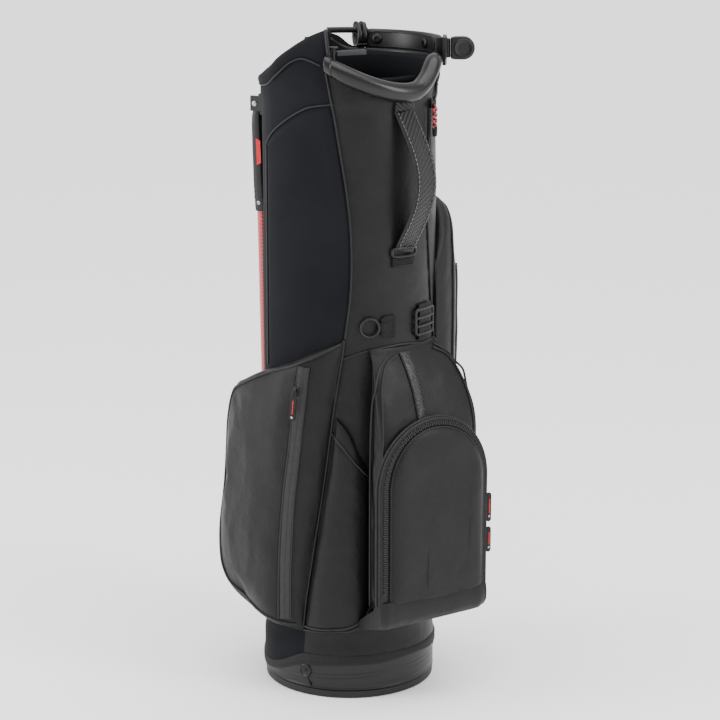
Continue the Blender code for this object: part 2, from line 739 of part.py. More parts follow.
def leg(side, label):
    hinge = mirror(LEG_HINGE, side)
    foot = mirror(LEG_FOOT, side)
    axis = Vector((LEG_AXIS[0], -side * LEG_AXIS[1], 0)).normalized()
    down = (foot - hinge).normalized()
    out = axis.cross(down).normalized()
    if out.y < 0:
        out = -out
    leg_bracket(hinge, axis, out, label)
    rod(f"leg_pin_{label}", hinge - axis * 0.0135, hinge + axis * 0.0135, 0.0022, "steel", sides=16)
    # Upper moulding: a block with a bore for the pin, running down to the tube
    loops = []
    for distance, width, depth, shift in ((-0.0050, 0.0090, 0.0090, 0.0), (0.0080, 0.0120, 0.0110, 0.0020),
                                          (0.0250, 0.0150, 0.0140, 0.0030), (0.0900, 0.0150, 0.0150, 0.0020),
                                          (0.1460, 0.0145, 0.0145, 0.0)):
        centre = hinge + down * distance + out * shift
        loops.append([centre + axis * a + out * b for a, b in rect_section(width, depth)])
    upper = loft(f"leg_upper_{label}", loops, "moulded_black", origin=hinge)
    reach = axis * 0.02
    bore = rod(f"cut_leg_bore_{label}", hinge - reach, hinge + reach, 0.0025, "moulded_black", sides=16)
    cut(upper, bore)
    start = hinge + down * 0.1464
    rod(f"leg_tube_{label}", start, foot + Vector((0, 0, 0.0004)) - down * 0.0250, LEG_TUBE_R, "carbon_red", sides=16,
        origin=hinge)
    # Rubber foot
    base = foot - down * 0.0246
    loops = []
    turn = frame_along(down)
    for distance, radius in ((0.0, 0.0075), (0.0150, 0.0085), (0.0246, 0.0075), (0.0300, 0.0040)):
        centre = base + down * distance
        circle = [2 * math.pi * i / 12 for i in range(12)]
        loops.append([centre + turn @ Vector((radius * math.cos(a), radius * math.sin(a), 0)) for a in circle])
    loft(f"leg_foot_{label}", loops, "rubber", origin=hinge)


def actuator():
    """Rod down the leg side that drives the legs when the bag leans on its foot."""
    x = 0.020
    y = BODY_R + 0.0060
    bottom = 0.070
    top = 0.640
    points = [Vector((-x, y, top)), Vector((-x, y, bottom + 0.008)), Vector((-x + 0.006, y, bottom)),
              Vector((x - 0.006, y, bottom)), Vector((x, y, bottom + 0.008)), Vector((x, y, top))]
    sweep("actuator_rod", points, circle_section(0.0020, 8), "steel", up=(0, 1, 0))
    box("actuator_yoke", (-0.0260, y - 0.0040, top + 0.0004), (0.0260, y + 0.0040, top + 0.0180), "moulded_black",
        bevel=0.001)
    box("rod_guide", (-0.0290, BODY_R + 0.0006, 0.3300), (0.0290, BODY_R + 0.0034, 0.3500), "moulded_black")


def main():
    clear_scene()
    base_foot()
    tilt_pin()
    base_boot()
    boot_trim()
    tube_panels()
    stays()
    dividers()
    divider_top()
    collar_frame()
    spine_lip()
    shoulder_pads()
    rear_rail()
    bridge = strap_bridge()
    for piece in swivel_ear():
        join(bridge, piece)
    club_clip()
    latch_bar()
    hip_pad()
    pockets()
    patch_pocket()
    arch_panel()
    ball_base_band()
    carry_handle()
    d_ring()
    strap_buckle()
    left_zip()
    right_zip()
    leg(-1, "left")
    leg(1, "right")
    actuator()


main()
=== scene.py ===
"""Looks of the golf stand bag: fabric, zips, fittings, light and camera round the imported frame."""

import math

import bmesh
import bpy
from mathutils import Matrix, Vector, noise
from mathutils.bvhtree import BVHTree


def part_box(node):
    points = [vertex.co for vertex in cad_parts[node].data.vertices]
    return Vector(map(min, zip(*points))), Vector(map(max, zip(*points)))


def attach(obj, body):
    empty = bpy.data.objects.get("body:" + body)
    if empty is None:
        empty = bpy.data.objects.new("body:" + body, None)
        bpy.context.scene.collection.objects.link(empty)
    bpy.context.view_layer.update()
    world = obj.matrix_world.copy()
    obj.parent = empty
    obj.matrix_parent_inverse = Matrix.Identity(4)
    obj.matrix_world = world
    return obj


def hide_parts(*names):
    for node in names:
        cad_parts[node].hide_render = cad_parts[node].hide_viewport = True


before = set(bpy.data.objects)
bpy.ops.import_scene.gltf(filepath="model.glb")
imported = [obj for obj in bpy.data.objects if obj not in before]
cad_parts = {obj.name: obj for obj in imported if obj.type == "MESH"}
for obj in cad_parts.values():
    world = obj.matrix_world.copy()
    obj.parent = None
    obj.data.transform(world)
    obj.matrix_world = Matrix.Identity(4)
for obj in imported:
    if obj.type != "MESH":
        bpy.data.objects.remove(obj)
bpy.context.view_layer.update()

# Camera, in metres and degrees
CAMERA_AZIMUTH = -35.0
CAMERA_DISTANCE = 3.006
CAMERA_HEIGHT = 1.163
CAMERA_PITCH = 13.617
CAMERA_LENS = 116.1
CAMERA_SHIFT_X = 0.0147

# Tube
BODY_R = 0.1125
TUBE_LOW = 0.0600
TUBE_HIGH = 0.7900

# Angle of the seam piping round the tube against height, on the large pocket's side
SEAM = [(0.060, 67), (0.110, 66), (0.200, 59), (0.300, 51), (0.420, 43), (0.480, 38.5), (0.540, 34.5),
        (0.600, 33.5), (0.660, 35.5), (0.750, 42.5), (0.800, 47), (0.832, 50)]
# The seam on the long pocket's side runs nearer the spine above the pockets
SEAM_RIGHT = [(0.060, 60), (0.300, 52), (0.400, 49), (0.443, 46), (0.516, 36), (0.600, 29.5), (0.649, 27),
              (0.700, 26.5), (0.760, 31), (0.800, 39), (0.832, 47)]
LIP_LINE = [(-50, 0.8440), (-38, 0.8310), (-20, 0.8150), (-5, 0.8070), (8, 0.8070), (16, 0.8160),
            (24, 0.8300), (32, 0.8390), (42, 0.8430), (52, 0.8440), (61, 0.8450)]
RIM_TOP = [(0, 0.0605), (66, 0.0580), (75, 0.0505), (90, 0.0360), (110, 0.0280), (130, 0.0340),
           (150, 0.0455), (180, 0.0530)]
SHOULDER_TOP = [(-201, 0.862), (-190, 0.852), (-178, 0.838), (-165, 0.825), (-150, 0.817), (-125, 0.818),
                (-103, 0.830), (-88, 0.846), (-73, 0.862), (-62, 0.8735), (-50, 0.883)]
SHOULDER_SEAM = [(-201, 0.806), (-125, 0.802), (-100, 0.806), (-86, 0.821), (-74, 0.838), (-66, 0.844),
                 (-60, 0.842), (-50, 0.834)]
HIP_TOP = [(-103, 0.730), (-95, 0.745), (-83, 0.761), (-70, 0.776), (-61, 0.784), (-45, 0.789)]


# ------------------------------------------------------------------ shapes

def polar(psi, radius, z):
    """Point at an angle psi (degrees) round the bag: 0 at the spine, -90 at the large pocket."""
    angle = math.radians(psi)
    return Vector((radius * math.sin(angle), -radius * math.cos(angle), z))


def turns(count):
    """Angles evenly round a full circle."""
    return [2 * math.pi * k / count for k in range(count)]


def outward(points):
    """Level directions from the bag's axis through the points."""
    return [Vector((p.x, p.y, 0)).normalized() for p in points]


def follow(points, value):
    """Smooth curve value through (key, value) pairs in rising key order."""
    if value <= points[0][0]:
        return points[0][1]
    if value >= points[-1][0]:
        return points[-1][1]
    last = len(points) - 1
    for i in range(last):
        k0, v0 = points[i]
        k1, v1 = points[i + 1]
        if value <= k1:
            before = points[max(i - 1, 0)]
            after = points[min(i + 2, last)]
            slope0 = (v1 - before[1]) / (k1 - before[0])
            slope1 = (after[1] - v0) / (after[0] - k0)
            t = (value - k0) / (k1 - k0)
            span = k1 - k0
            a = (1 + 2 * t) * (1 - t) ** 2
            b = t * (1 - t) ** 2
            c = t * t * (3 - 2 * t)
            d = t * t * (t - 1)
            return a * v0 + b * span * slope0 + c * v1 + d * span * slope1
    return points[-1][1]


def rim_top(psi):
    """Height of the boot's rim: high at the spine, low at the sides."""
    return follow(RIM_TOP, abs(psi) if abs(psi) <= 180 else 360 - abs(psi))


def seam_angle(z):
    return follow(SEAM, z)


def right_seam(z):
    return follow(SEAM_RIGHT, z)


def steps(start, end, count):
    return [start + (end - start) * i / count for i in range(count + 1)]


def smoothstep(low, high, value):
    t = min(max((value - low) / (high - low), 0.0), 1.0)
    return t * t * (3 - 2 * t)


def smooth_path(points, per=6, closed=False):
    """Catmull-Rom curve through the points."""
    points = [Vector(p) for p in points]
    count = len(points)
    result = []
    spans = count if closed else count - 1
    for i in range(spans):
        if closed:
            p0, p1, p2, p3 = (points[(i + k) % count] for k in (-1, 0, 1, 2))
        else:
            p0, p1, p2, p3 = (points[min(max(i + k, 0), count - 1)] for k in (-1, 0, 1, 2))
        for j in range(per):
            t = j / per
            result.append(0.5 * ((2 * p1) + (p2 - p0) * t + (2 * p0 - 5 * p1 + 4 * p2 - p3) * t * t
                                 + (3 * p1 - p0 - 3 * p2 + p3) * t ** 3))
    if not closed:
        result.append(points[-1])
    return result


def new_object(name, mesh, mat, sharp=40):
    mesh.materials.append(mat)
    mesh.shade_smooth()
    if sharp:
        mesh.set_sharp_from_angle(angle=math.radians(sharp))
    obj = bpy.data.objects.new(name, mesh)
    bpy.context.scene.collection.objects.link(obj)
    return obj


def from_build(name, build, mat, sharp=40):
    bmesh.ops.recalc_face_normals(build, faces=build.faces)
    if build.calc_volume(signed=True) < 0:
        bmesh.ops.reverse_faces(build, faces=build.faces)
    mesh = bpy.data.meshes.new(name)
    build.to_mesh(mesh)
    build.free()
    return new_object(name, mesh, mat, sharp)


def loft(name, loops, mat, closed=False, caps=True, sharp=40):
    """Skin through rings of points, with a UV map in metres round and along it."""
    build = bmesh.new()
    uv = build.loops.layers.uv.new("metres")
    rings = [[build.verts.new(p) for p in loop] for loop in loops]
    count = len(rings[0])
    around = [0.0]
    for i in range(count):
        around.append(around[-1] + (Vector(loops[0][(i + 1) % count]) - Vector(loops[0][i])).length)
    along = [0.0]
    total = len(loops)
    for i in range(total):
        along.append(along[-1] + (Vector(loops[(i + 1) % total][0]) - Vector(loops[i][0])).length)
    pairs = [(i, i + 1) for i in range(total - 1)]
    if closed:
        pairs.append((total - 1, 0))
    for i, k in pairs:
        for j in range(count):
            n = (j + 1) % count
            face = build.faces.new((rings[i][j], rings[i][n], rings[k][n], rings[k][j]))
            places = ((around[j], along[i]), (around[j + 1], along[i]), (around[j + 1], along[i + 1]),
                      (around[j], along[i + 1]))
            for corner, place in zip(face.loops, places):
                corner[uv].uv = place
    if caps and not closed:
        build.faces.new(rings[0][::-1])
        build.faces.new(rings[-1])
    return from_build(name, build, mat, sharp)


def turned(direction, up):
    z_axis = Vector(direction).normalized()
    x_axis = Vector(up).cross(z_axis)
    if x_axis.length < 1e-6:
        x_axis = Vector((1, 0, 0))
    x_axis.normalize()
    return x_axis, z_axis.cross(x_axis)


def tube(name, points, radius, mat, sides=8, closed=False):
    """Round cord along points, with a frame carried along so that it doesn't twist."""
    points = [Vector(p) for p in points]
    count = len(points)
    side = None
    loops = []
    for i, point in enumerate(points):
        before = points[i - 1] if (i or closed) else point
        after = points[(i + 1) % count] if (closed or i < count - 1) else point
        way = (after - before).normalized()
        if side is None:
            side = way.orthogonal().normalized()
        side = (side - way * side.dot(way)).normalized()
        other = way.cross(side)
        size = radius(i / max(count - 1, 1)) if callable(radius) else radius
        loops.append([point + (side * math.cos(a) + other * math.sin(a)) * size
                      for a in turns(sides)])
    return loft(name, loops, mat, closed=closed)


def ribbon(name, points, normals, width, thickness, mat, closed=False, puff=0.0):
    """Flat strap along points, lying square to the normals, with rounded edges."""
    points = [Vector(p) for p in points]
    count = len(points)
    loops = []
    half = thickness / 2
    for i, point in enumerate(points):
        before = points[i - 1] if (i or closed) else point
        after = points[(i + 1) % count] if (closed or i < count - 1) else point
        way = (after - before).normalized()
        up = Vector(normals[i]).normalized()
        across = way.cross(up).normalized()
        up = across.cross(way)
        w = (width(i / max(count - 1, 1)) if callable(width) else width) / 2
        section = [(-w, -half * 0.4), (-w + half * 0.8, -half), (w - half * 0.8, -half), (w, -half * 0.4),
                   (w, half * 0.4), (w - half * 0.8, half), (w * 0.4, half + puff), (-w * 0.4, half + puff),
                   (-w + half * 0.8, half), (-w, half * 0.4)]
        loops.append([point + across * a + up * b for a, b in section])
    return loft(name, loops, mat, closed=closed)


def lathe(name, base, axis, profile, mat, sides=32, sharp=30):
    """Solid of revolution: profile holds (distance along axis, radius) pairs."""
    x_axis, y_axis = turned(axis, (0, 0, 1) if abs(Vector(axis).normalized().z) < 0.9 else (1, 0, 0))
    axis = Vector(axis).normalized()
    base = Vector(base)
    loops = []
    for distance, radius in profile:
        loops.append([base + axis * distance + (x_axis * math.cos(a) + y_axis * math.sin(a)) * max(radius,
                                                                                                   0.00005)
                      for a in turns(sides)])
    return loft(name, loops, mat, sharp=sharp)


def shell(name, psi0, psi1, low, high, outer, thickness, mat, columns=60, rows=40, sharp=50):
    """Curved panel: outer(psi, z, u, v) gives its outside radius; psi limits may depend on height."""
    build = bmesh.new()
    uv = build.loops.layers.uv.new("metres")
    faces_of = []
    for inside in (False, True):
        grid = []
        for i in range(columns + 1):
            u = i / columns
            column = []
            for j in range(rows + 1):
                v = j / rows
                start = psi0(0.5) if callable(psi0) else psi0
                end = psi1(0.5) if callable(psi1) else psi1
                guess = start + (end - start) * u
                z = low(guess) + (high(guess) - low(guess)) * v
                start = psi0(z) if callable(psi0) else psi0
                end = psi1(z) if callable(psi1) else psi1
                psi = start + (end - start) * u
                z = low(psi) + (high(psi) - low(psi)) * v
                radius = outer(psi, z, u, v) - (thickness if inside else 0.0)
                column.append((build.verts.new(polar(psi, radius, z)), (math.radians(psi) * BODY_R, z)))
            grid.append(column)
        faces_of.append(grid)
        for i in range(columns):
            for j in range(rows):
                corners = [grid[i][j], grid[i + 1][j], grid[i + 1][j + 1], grid[i][j + 1]]
                face = build.faces.new([c[0] for c in corners])
                for corner, place in zip(face.loops, corners):
                    corner[uv].uv = place[1]
    front, back = faces_of
    border = [(i, 0) for i in range(columns)] + [(columns, j) for j in range(rows)]
    border += [(i, rows) for i in range(columns, 0, -1)] + [(0, j) for j in range(rows, 0, -1)]
    for (a, b), (c, d) in zip(border, border[1:] + border[:1]):
        build.faces.new((front[a][b][0], front[c][d][0], back[c][d][0], back[a][b][0]))
    return from_build(name, build, mat, sharp)


def outline_block(name, points, back, front, mat, bevel=0.001, segments=3):
    """Plate of a given outline between two planes, each given as an offset from the points."""
    build = bmesh.new()
    loops = []
    for offset in (back, front):
        loops.append([build.verts.new(Vector(p) + Vector(offset)) for p in points])
    count = len(points)
    for i in range(count):
        j = (i + 1) % count
        build.faces.new((loops[0][i], loops[0][j], loops[1][j], loops[1][i]))
    build.faces.new(loops[0][::-1])
    build.faces.new(loops[1])
    if bevel:
        bmesh.ops.recalc_face_normals(build, faces=build.faces)
        sharp = [e for e in build.edges if e.calc_face_angle(0) > math.radians(50)]
        bmesh.ops.bevel(build, geom=sharp, offset=bevel, segments=segments, profile=0.6, affect="EDGES",
                        clamp_overlap=True)
    return from_build(name, build, mat, 35)


def join_objects(name, parts):
    """One object from several, keeping each one's materials."""
    build = bmesh.new()
    mats = []
    build.loops.layers.uv.new("metres")
    for part in parts:
        slots = []
        for mat in part.data.materials:
            if mat not in mats:
                mats.append(mat)
            slots.append(mats.index(mat))
        start = len(build.verts)
        first_face = len(build.faces)
        build.from_mesh(part.data)
        build.verts.ensure_lookup_table()
        build.faces.ensure_lookup_table()
        for vert in build.verts[start:]:
            vert.co = part.matrix_world @ vert.co
        for face in build.faces[first_face:]:
            face.material_index = slots[min(face.material_index, len(slots) - 1)]
    mesh = bpy.data.meshes.new(name)
    build.to_mesh(mesh)
    build.free()
    for part in parts:
        bpy.data.objects.remove(part, do_unlink=True)
    obj = bpy.data.objects.new(name, mesh)
    for mat in mats:
        mesh.materials.append(mat)
    bpy.context.scene.collection.objects.link(obj)
    return obj


def paced(points, normals, gap):
    """Places spaced evenly along a path, each with its direction and normal."""
    distances = [0.0]
    for a, b in zip(points, points[1:]):
        distances.append(distances[-1] + (b - a).length)
    due = gap / 2
    index = 0
    while due < distances[-1]:
        while distances[index + 1] < due:
            index += 1
        t = (due - distances[index]) / max(distances[index + 1] - distances[index], 1e-9)
        centre = points[index].lerp(points[index + 1], t)
        way = (points[index + 1] - points[index]).normalized()
        yield centre, way, Vector(normals[index]).normalized()
        due += gap


def dashes(name, points, normals, mat, length=0.0026, gap=0.0042, width=0.0008, height=0.0005):
    """Row of sewn stitches: small rounded beads along a path."""
    build = bmesh.new()
    for centre, way, up in paced(points, normals, gap):
        across = way.cross(up).normalized()
        rings = []
        for along, size in ((-0.5, 0.45), (-0.25, 1.0), (0.25, 1.0), (0.5, 0.45)):
            middle = centre + way * along * length
            rings.append([build.verts.new(middle + across * math.cos(a) * width / 2 * size
                                          + up * math.sin(a) * height * size)
                          for a in (math.pi * k / 3 for k in range(6))])
        for r0, r1 in zip(rings, rings[1:]):
            for k in range(6):
                n = (k + 1) % 6
                build.faces.new((r0[k], r0[n], r1[n], r1[k]))
        build.faces.new(rings[0][::-1])
        build.faces.new(rings[-1])
    return from_build(name, build, mat, 0)


def zip_teeth(name, points, normals, mat, pitch=0.0030, width=0.0058, height=0.0012):
    """Interlocked moulded teeth along a path, alternately from each side."""
    build = bmesh.new()
    side = 1
    for centre, way, up in paced(points, normals, pitch):
        across = way.cross(up).normalized() * side
        low = []
        high = []
        for a, b in ((-0.5, -0.36), (0.16, -0.36), (0.34, -0.46), (0.34, 0.46), (0.16, 0.36), (-0.5, 0.36)):
            spot = centre + across * a * width + way * b * pitch * 0.95
            low.append(build.verts.new(spot))
            high.append(build.verts.new(spot + up * height + (centre - spot) * 0.14))
        for k in range(6):
            n = (k + 1) % 6
            build.faces.new((low[k], low[n], high[n], high[k]))
        build.faces.new(low[::-1])
        build.faces.new(high)
        side = -side
    bmesh.ops.recalc_face_normals(build, faces=build.faces)
    mesh = bpy.data.meshes.new(name)
    build.to_mesh(mesh)
    build.free()
    return new_object(name, mesh, mat, 30)


def surface_of(*objects):
    """Search tree over objects' evaluated meshes, for laying trim on them."""
    graph = bpy.context.evaluated_depsgraph_get()
    points = []
    faces = []
    for obj in objects:
        mesh = obj.evaluated_get(graph).to_mesh()
        start = len(points)
        points += [obj.matrix_world @ v.co for v in mesh.vertices]
        faces += [[start + i for i in p.vertices] for p in mesh.polygons]
    return BVHTree.FromPolygons(points, faces)


def lay_radial(tree, psi, z, lift, fallback=None):
    """Point on the surface met on the way in to the bag's axis, and its outward normal."""
    start = polar(psi, 0.30, z)
    way = -polar(psi, 1.0, 0)
    hit, normal, _, _ = tree.ray_cast(start, way)
    if hit is None:
        hit = polar(psi, fallback or BODY_R, z)
        normal = polar(psi, 1.0, 0)
    if normal.dot(way) > 0:
        normal = -normal
    return hit + normal * lift, normal


def lay_front(tree, x, z, lift, fallback=-0.160):
    """Point on the surface met on the way back from in front of the spine, and its normal."""
    hit, normal, _, _ = tree.ray_cast(Vector((x, -0.40, z)), Vector((0, 1, 0)))
    if hit is None:
        hit = Vector((x, fallback, z))
        normal = Vector((0, -1, 0))
    if normal.y > 0:
        normal = -normal
    return hit + normal * lift, normal


def relaxed(points, rounds=2):
    for _ in range(rounds):
        points = [points[0]] + [(a + b * 2 + c) / 4 for a, b,
                                c in zip(points, points[1:], points[2:])] + [points[-1]]
    return points


def piece(obj, body, slot, replaced=()):
    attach(obj, body)
    if replaced:
        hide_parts(*replaced)
    return obj


def curve(outline, per):
    """Smooth (psi, z) route through a few points."""
    return [(p.x, p.y) for p in smooth_path([Vector((a, b, 0)) for a, b in outline], per)]


def along(rows):
    """Evened-out points of a laid row, and its normals."""
    return relaxed([p for p, n in rows], 3), [n for p, n in rows]


def cord(name, points, radius, slot="shell_fabric"):
    """Piping laid along points."""
    return piece(tube(name, points, radius, PIPING), "bag", slot)


def stitches(name, points, normals, slot="shell_fabric"):
    """Row of dark stitches along points."""
    return piece(dashes(name, points, normals, THREAD), "bag", slot)


def squared(angle, power=0.55):
    """Cosine and sine of a rounded square."""
    cos = math.cos(angle)
    sin = math.sin(angle)
    return math.copysign(abs(cos) ** power, cos), math.copysign(abs(sin) ** power, sin)


# ------------------------------------------------------------------ cloth

def evaluated_copy(obj, name):
    graph = bpy.context.evaluated_depsgraph_get()
    mesh = bpy.data.meshes.new_from_object(obj.evaluated_get(graph))
    mesh.name = name
    return mesh


def swell(v, power):
    """Height profile of a stuffed panel: 0 at its edges and 1 over most of its middle."""
    return max(1 - abs(2 * v - 1) ** power, 0.0) ** (1 / power)


def pocket_walls(outline, low, high, fullness, warp=lambda psi, z: psi, rows=64):
    """Loops of a stuffed pocket on the tube; outline holds (x, y) points of its fullest section."""
    flat = []
    for p in smooth_path([Vector((x, y, 0)) for x, y in outline], 6):
        flat.append((math.degrees(math.atan2(p.x, -p.y)), math.hypot(p.x, p.y)))
    inner = BODY_R + 0.0003
    loops = []
    for i in range(rows + 1):
        v = 0.5 - 0.5 * math.cos(math.pi * i / rows)
        loop = []
        for psi, radius in flat:
            z = low(psi) + (high(psi) - low(psi)) * v
            reach = inner + 0.0012 + max(radius - inner - 0.0012, 0.0) * fullness(v)
            loop.append(polar(warp(psi, z), reach, z))
        for psi in steps(flat[-1][0], flat[0][0], 16):
            z = low(psi) + (high(psi) - low(psi)) * v
            loop.append(polar(warp(psi, z), inner, z))
        loops.append(loop)
    return loops


def stuffed(name, loops, mat, cap=0.006, shrink=0.0015, pressure=4.0, keep_radius=0.1160, wrinkle=None):
    """Fabric pocket: its sewn shape, blown up a little by cloth simulation, then smoothed."""
    skin = loft(name, loops, mat)
    skin_mesh = skin.data
    normals = [v.normal.copy() for v in skin_mesh.vertices]
    fixed = [math.hypot(v.co.x, v.co.y) < keep_radius for v in skin_mesh.vertices]
    for vert, normal, held in zip(skin_mesh.vertices, normals, fixed):
        if not held:
            vert.co -= normal * shrink
    simulate(skin, fixed, cap, pressure)
    divide = skin.modifiers.new("divide", "SUBSURF")
    divide.levels = 1
    divide.render_levels = 1
    bpy.context.view_layer.update()
    fine = evaluated_copy(skin, name)
    skin.modifiers.clear()
    skin.data = fine
    if wrinkle:
        fine.calc_loop_triangles()
        moves = [v.normal.copy() * wrinkle(v.co, v.normal) for v in fine.vertices]
        for vert, move in zip(fine.vertices, moves):
            if math.hypot(vert.co.x, vert.co.y) > keep_radius:
                vert.co += move
    fine.shade_smooth()
    return skin


def simulate(skin, fixed, cap, pressure):
    """Twenty frames of pressurised cloth, each point's travel capped, and the result kept in the mesh."""
    group = skin.vertex_groups.new(name="held")
    group.add([i for i, held in enumerate(fixed) if held], 1.0, "REPLACE")
    cloth = skin.modifiers.new("cloth", "CLOTH")
    cloth.settings.use_pressure = True
    cloth.settings.uniform_pressure_force = pressure
    cloth.settings.effector_weights.gravity = 0.0
    cloth.settings.vertex_group_mass = "held"
    cloth.settings.quality = 4
    cloth.settings.bending_stiffness = 1.5
    cloth.settings.tension_stiffness = 25.0
    cloth.settings.compression_stiffness = 25.0
    cloth.point_cache.frame_start = 1
    cloth.point_cache.frame_end = 20
    for number in range(1, 21):
        bpy.context.scene.frame_set(number)
    graph = bpy.context.evaluated_depsgraph_get()
    moved = skin.evaluated_get(graph).to_mesh()
    places = [v.co.copy() for v in moved.vertices]
    skin.modifiers.clear()
    bpy.context.scene.frame_set(1)
    for vert, place in zip(skin.data.vertices, places):
        travel = place - vert.co
        if travel.length > cap:
            travel *= cap / travel.length
        vert.co += travel
    skin.vertex_groups.clear()


def ridged(point, scale, stretch, offset=0.0):
    """Crease pattern between 0 and 1: narrow ridges along the stretched direction."""
    place = Vector((point.x * stretch[0], point.y * stretch[1], point.z * stretch[2])) * scale
    place += Vector((offset, offset * 0.7, offset * 1.3))
    return 1.0 - min(abs(noise.noise(place)) * 2.6, 1.0)


def soft_noise(point, scale, offset=0.0):
    return noise.noise(point * scale + Vector((offset, offset, offset)))


def pocket_wrinkle(amount, offset):
    """Shallow puckers and a few soft folds, as light nylon shows over a stuffed pocket."""
    def at(point, normal):
        broad = soft_noise(point, 16.0, offset) * 0.9
        fold = ridged(point, 20.0, (1.0, 1.0, 0.45), offset + 3.0) * 0.55
        small = soft_noise(point, 62.0, offset + 8.0) * 0.22
        return amount * (broad + fold + small)
    return at


# ------------------------------------------------------------------ materials

class Surface:
    """A node material on one Principled shader."""

    def __init__(self, name, colour, roughness, metallic=0.0, coat=0.0, sheen=0.0, specular=0.5):
        self.mat = bpy.data.materials.new(name)
        self.mat.use_nodes = True
        self.tree = self.mat.node_tree
        self.shader = self.tree.nodes["Principled BSDF"]
        self.shader.inputs["Base Color"].default_value = (*colour, 1.0)
        self.shader.inputs["Roughness"].default_value = roughness
        self.shader.inputs["Metallic"].default_value = metallic
        self.shader.inputs["Coat Weight"].default_value = coat
        self.shader.inputs["Coat Roughness"].default_value = 0.12
        self.shader.inputs["Sheen Weight"].default_value = sheen
        self.shader.inputs["Sheen Roughness"].default_value = 0.45
        self.shader.inputs["Specular IOR Level"].default_value = specular
        self.colour = colour
        self.roughness = roughness
        self.last_bump = None

    def node(self, kind, **values):
        made = self.tree.nodes.new(kind)
        for key, value in values.items():
            if hasattr(made, key):
                setattr(made, key, value)
            else:
                made.inputs[key.replace("_", " ")].default_value = value
        return made

    def link(self, source, target):
        self.tree.links.new(source, target)

    def object_place(self):
        return self.node("ShaderNodeTexCoord").outputs["Object"]

    def uv_place(self):
        return self.node("ShaderNodeUVMap", uv_map="metres").outputs["UV"]

    def noise(self, place, scale, detail=2.0, rough=0.5):
        made = self.node("ShaderNodeTexNoise")
        made.inputs["Scale"].default_value = scale
        made.inputs["Detail"].default_value = detail
        made.inputs["Roughness"].default_value = rough
        self.link(place, made.inputs["Vector"])
        return made.outputs["Fac"]

    def math(self, kind, a, b=None):
        made = self.node("ShaderNodeMath", operation=kind)
        for socket, value in zip(made.inputs, (a, b)):
            if value is None:
                continue
            if isinstance(value, (int, float)):
                socket.default_value = value
            else:
                self.link(value, socket)
        return made.outputs[0]

    def ramp(self, factor, low, high, stops=(0.35, 0.65)):
        made = self.node("ShaderNodeValToRGB")
        made.color_ramp.elements[0].position = stops[0]
        made.color_ramp.elements[0].color = (*low, 1.0)
        made.color_ramp.elements[1].position = stops[1]
        made.color_ramp.elements[1].color = (*high, 1.0)
        self.link(factor, made.inputs["Fac"])
        return made.outputs["Color"]

    def bump(self, height, strength, distance):
        made = self.node("ShaderNodeBump")
        made.inputs["Strength"].default_value = strength
        made.inputs["Distance"].default_value = distance
        self.link(height, made.inputs["Height"])
        if self.last_bump is not None:
            self.link(self.last_bump, made.inputs["Normal"])
        self.last_bump = made.outputs["Normal"]
        self.link(self.last_bump, self.shader.inputs["Normal"])

    def vary_colour(self, factor, spread):
        low = tuple(c * (1 - spread) for c in self.colour)
        high = tuple(min(c * (1 + spread), 1.0) for c in self.colour)
        self.link(self.ramp(factor, low, high), self.shader.inputs["Base Color"])

    def vary_roughness(self, factor, spread):
        made = self.node("ShaderNodeMapRange")
        made.inputs["To Min"].default_value = max(self.roughness - spread, 0.02)
        made.inputs["To Max"].default_value = min(self.roughness + spread, 1.0)
        self.link(factor, made.inputs["Value"])
        self.link(made.outputs["Result"], self.shader.inputs["Roughness"])


def woven(surface, place, pitch, strength, distance):
    """Plain weave: two crossed sets of threads."""
    split = surface.node("ShaderNodeSeparateXYZ")
    surface.link(place, split.inputs[0])
    turns = 2 * math.pi / pitch
    flat = surface.math("ADD", split.outputs[0], split.outputs[1])
    u = surface.math("SINE", surface.math("MULTIPLY", flat, turns))
    v = surface.math("SINE", surface.math("MULTIPLY", split.outputs[2], turns))
    surface.bump(surface.math("MULTIPLY", u, v), strength, distance)


def shell_fabric(name="shell_nylon", colour=(0.0045, 0.0044, 0.0046), roughness=0.46):
    surface = Surface(name, colour, roughness, sheen=0.012, specular=0.20)
    place = surface.object_place()
    cloud = surface.noise(place, 26.0, 4.0, 0.6)
    surface.vary_colour(cloud, 0.22)
    surface.vary_roughness(surface.noise(place, 60.0, 3.0), 0.07)
    surface.bump(surface.noise(place, 34.0, 5.0, 0.62), 0.35, 0.0035)
    surface.bump(surface.noise(place, 130.0, 3.0, 0.6), 0.22, 0.0010)
    woven(surface, place, 0.0011, 0.10, 0.00025)
    return surface.mat


def pad_fabric(name="pad_knit", colour=(0.0050, 0.0054, 0.0072), roughness=0.85):
    surface = Surface(name, colour, roughness, sheen=0.015, specular=0.12)
    place = surface.object_place()
    surface.vary_colour(surface.noise(place, 15.0, 3.0, 0.5), 0.16)
    surface.bump(surface.noise(place, 20.0, 2.0, 0.5), 0.18, 0.0030)
    surface.bump(surface.noise(place, 1400.0, 2.0, 0.6), 0.16, 0.00020)
    return surface.mat


def lining_mesh():
    surface = Surface("lining_mesh", (0.006, 0.006, 0.0065), 0.85, sheen=0.02, specular=0.15)
    place = surface.object_place()
    surface.vary_colour(surface.noise(place, 700.0, 1.0, 0.5), 0.45)
    woven(surface, place, 0.0024, 0.55, 0.0007)
    return surface.mat


def moulded(name="moulded_plastic", colour=(0.0045, 0.0045, 0.0048), roughness=0.38, grain=0.10):
    surface = Surface(name, colour, roughness, specular=0.32)
    place = surface.object_place()
    surface.vary_colour(surface.noise(place, 22.0, 3.0, 0.5), 0.15)
    surface.vary_roughness(surface.noise(place, 45.0, 3.0, 0.5), 0.05)
    surface.bump(surface.noise(place, 1500.0, 2.0, 0.5), grain, 0.00022)
    return surface.mat


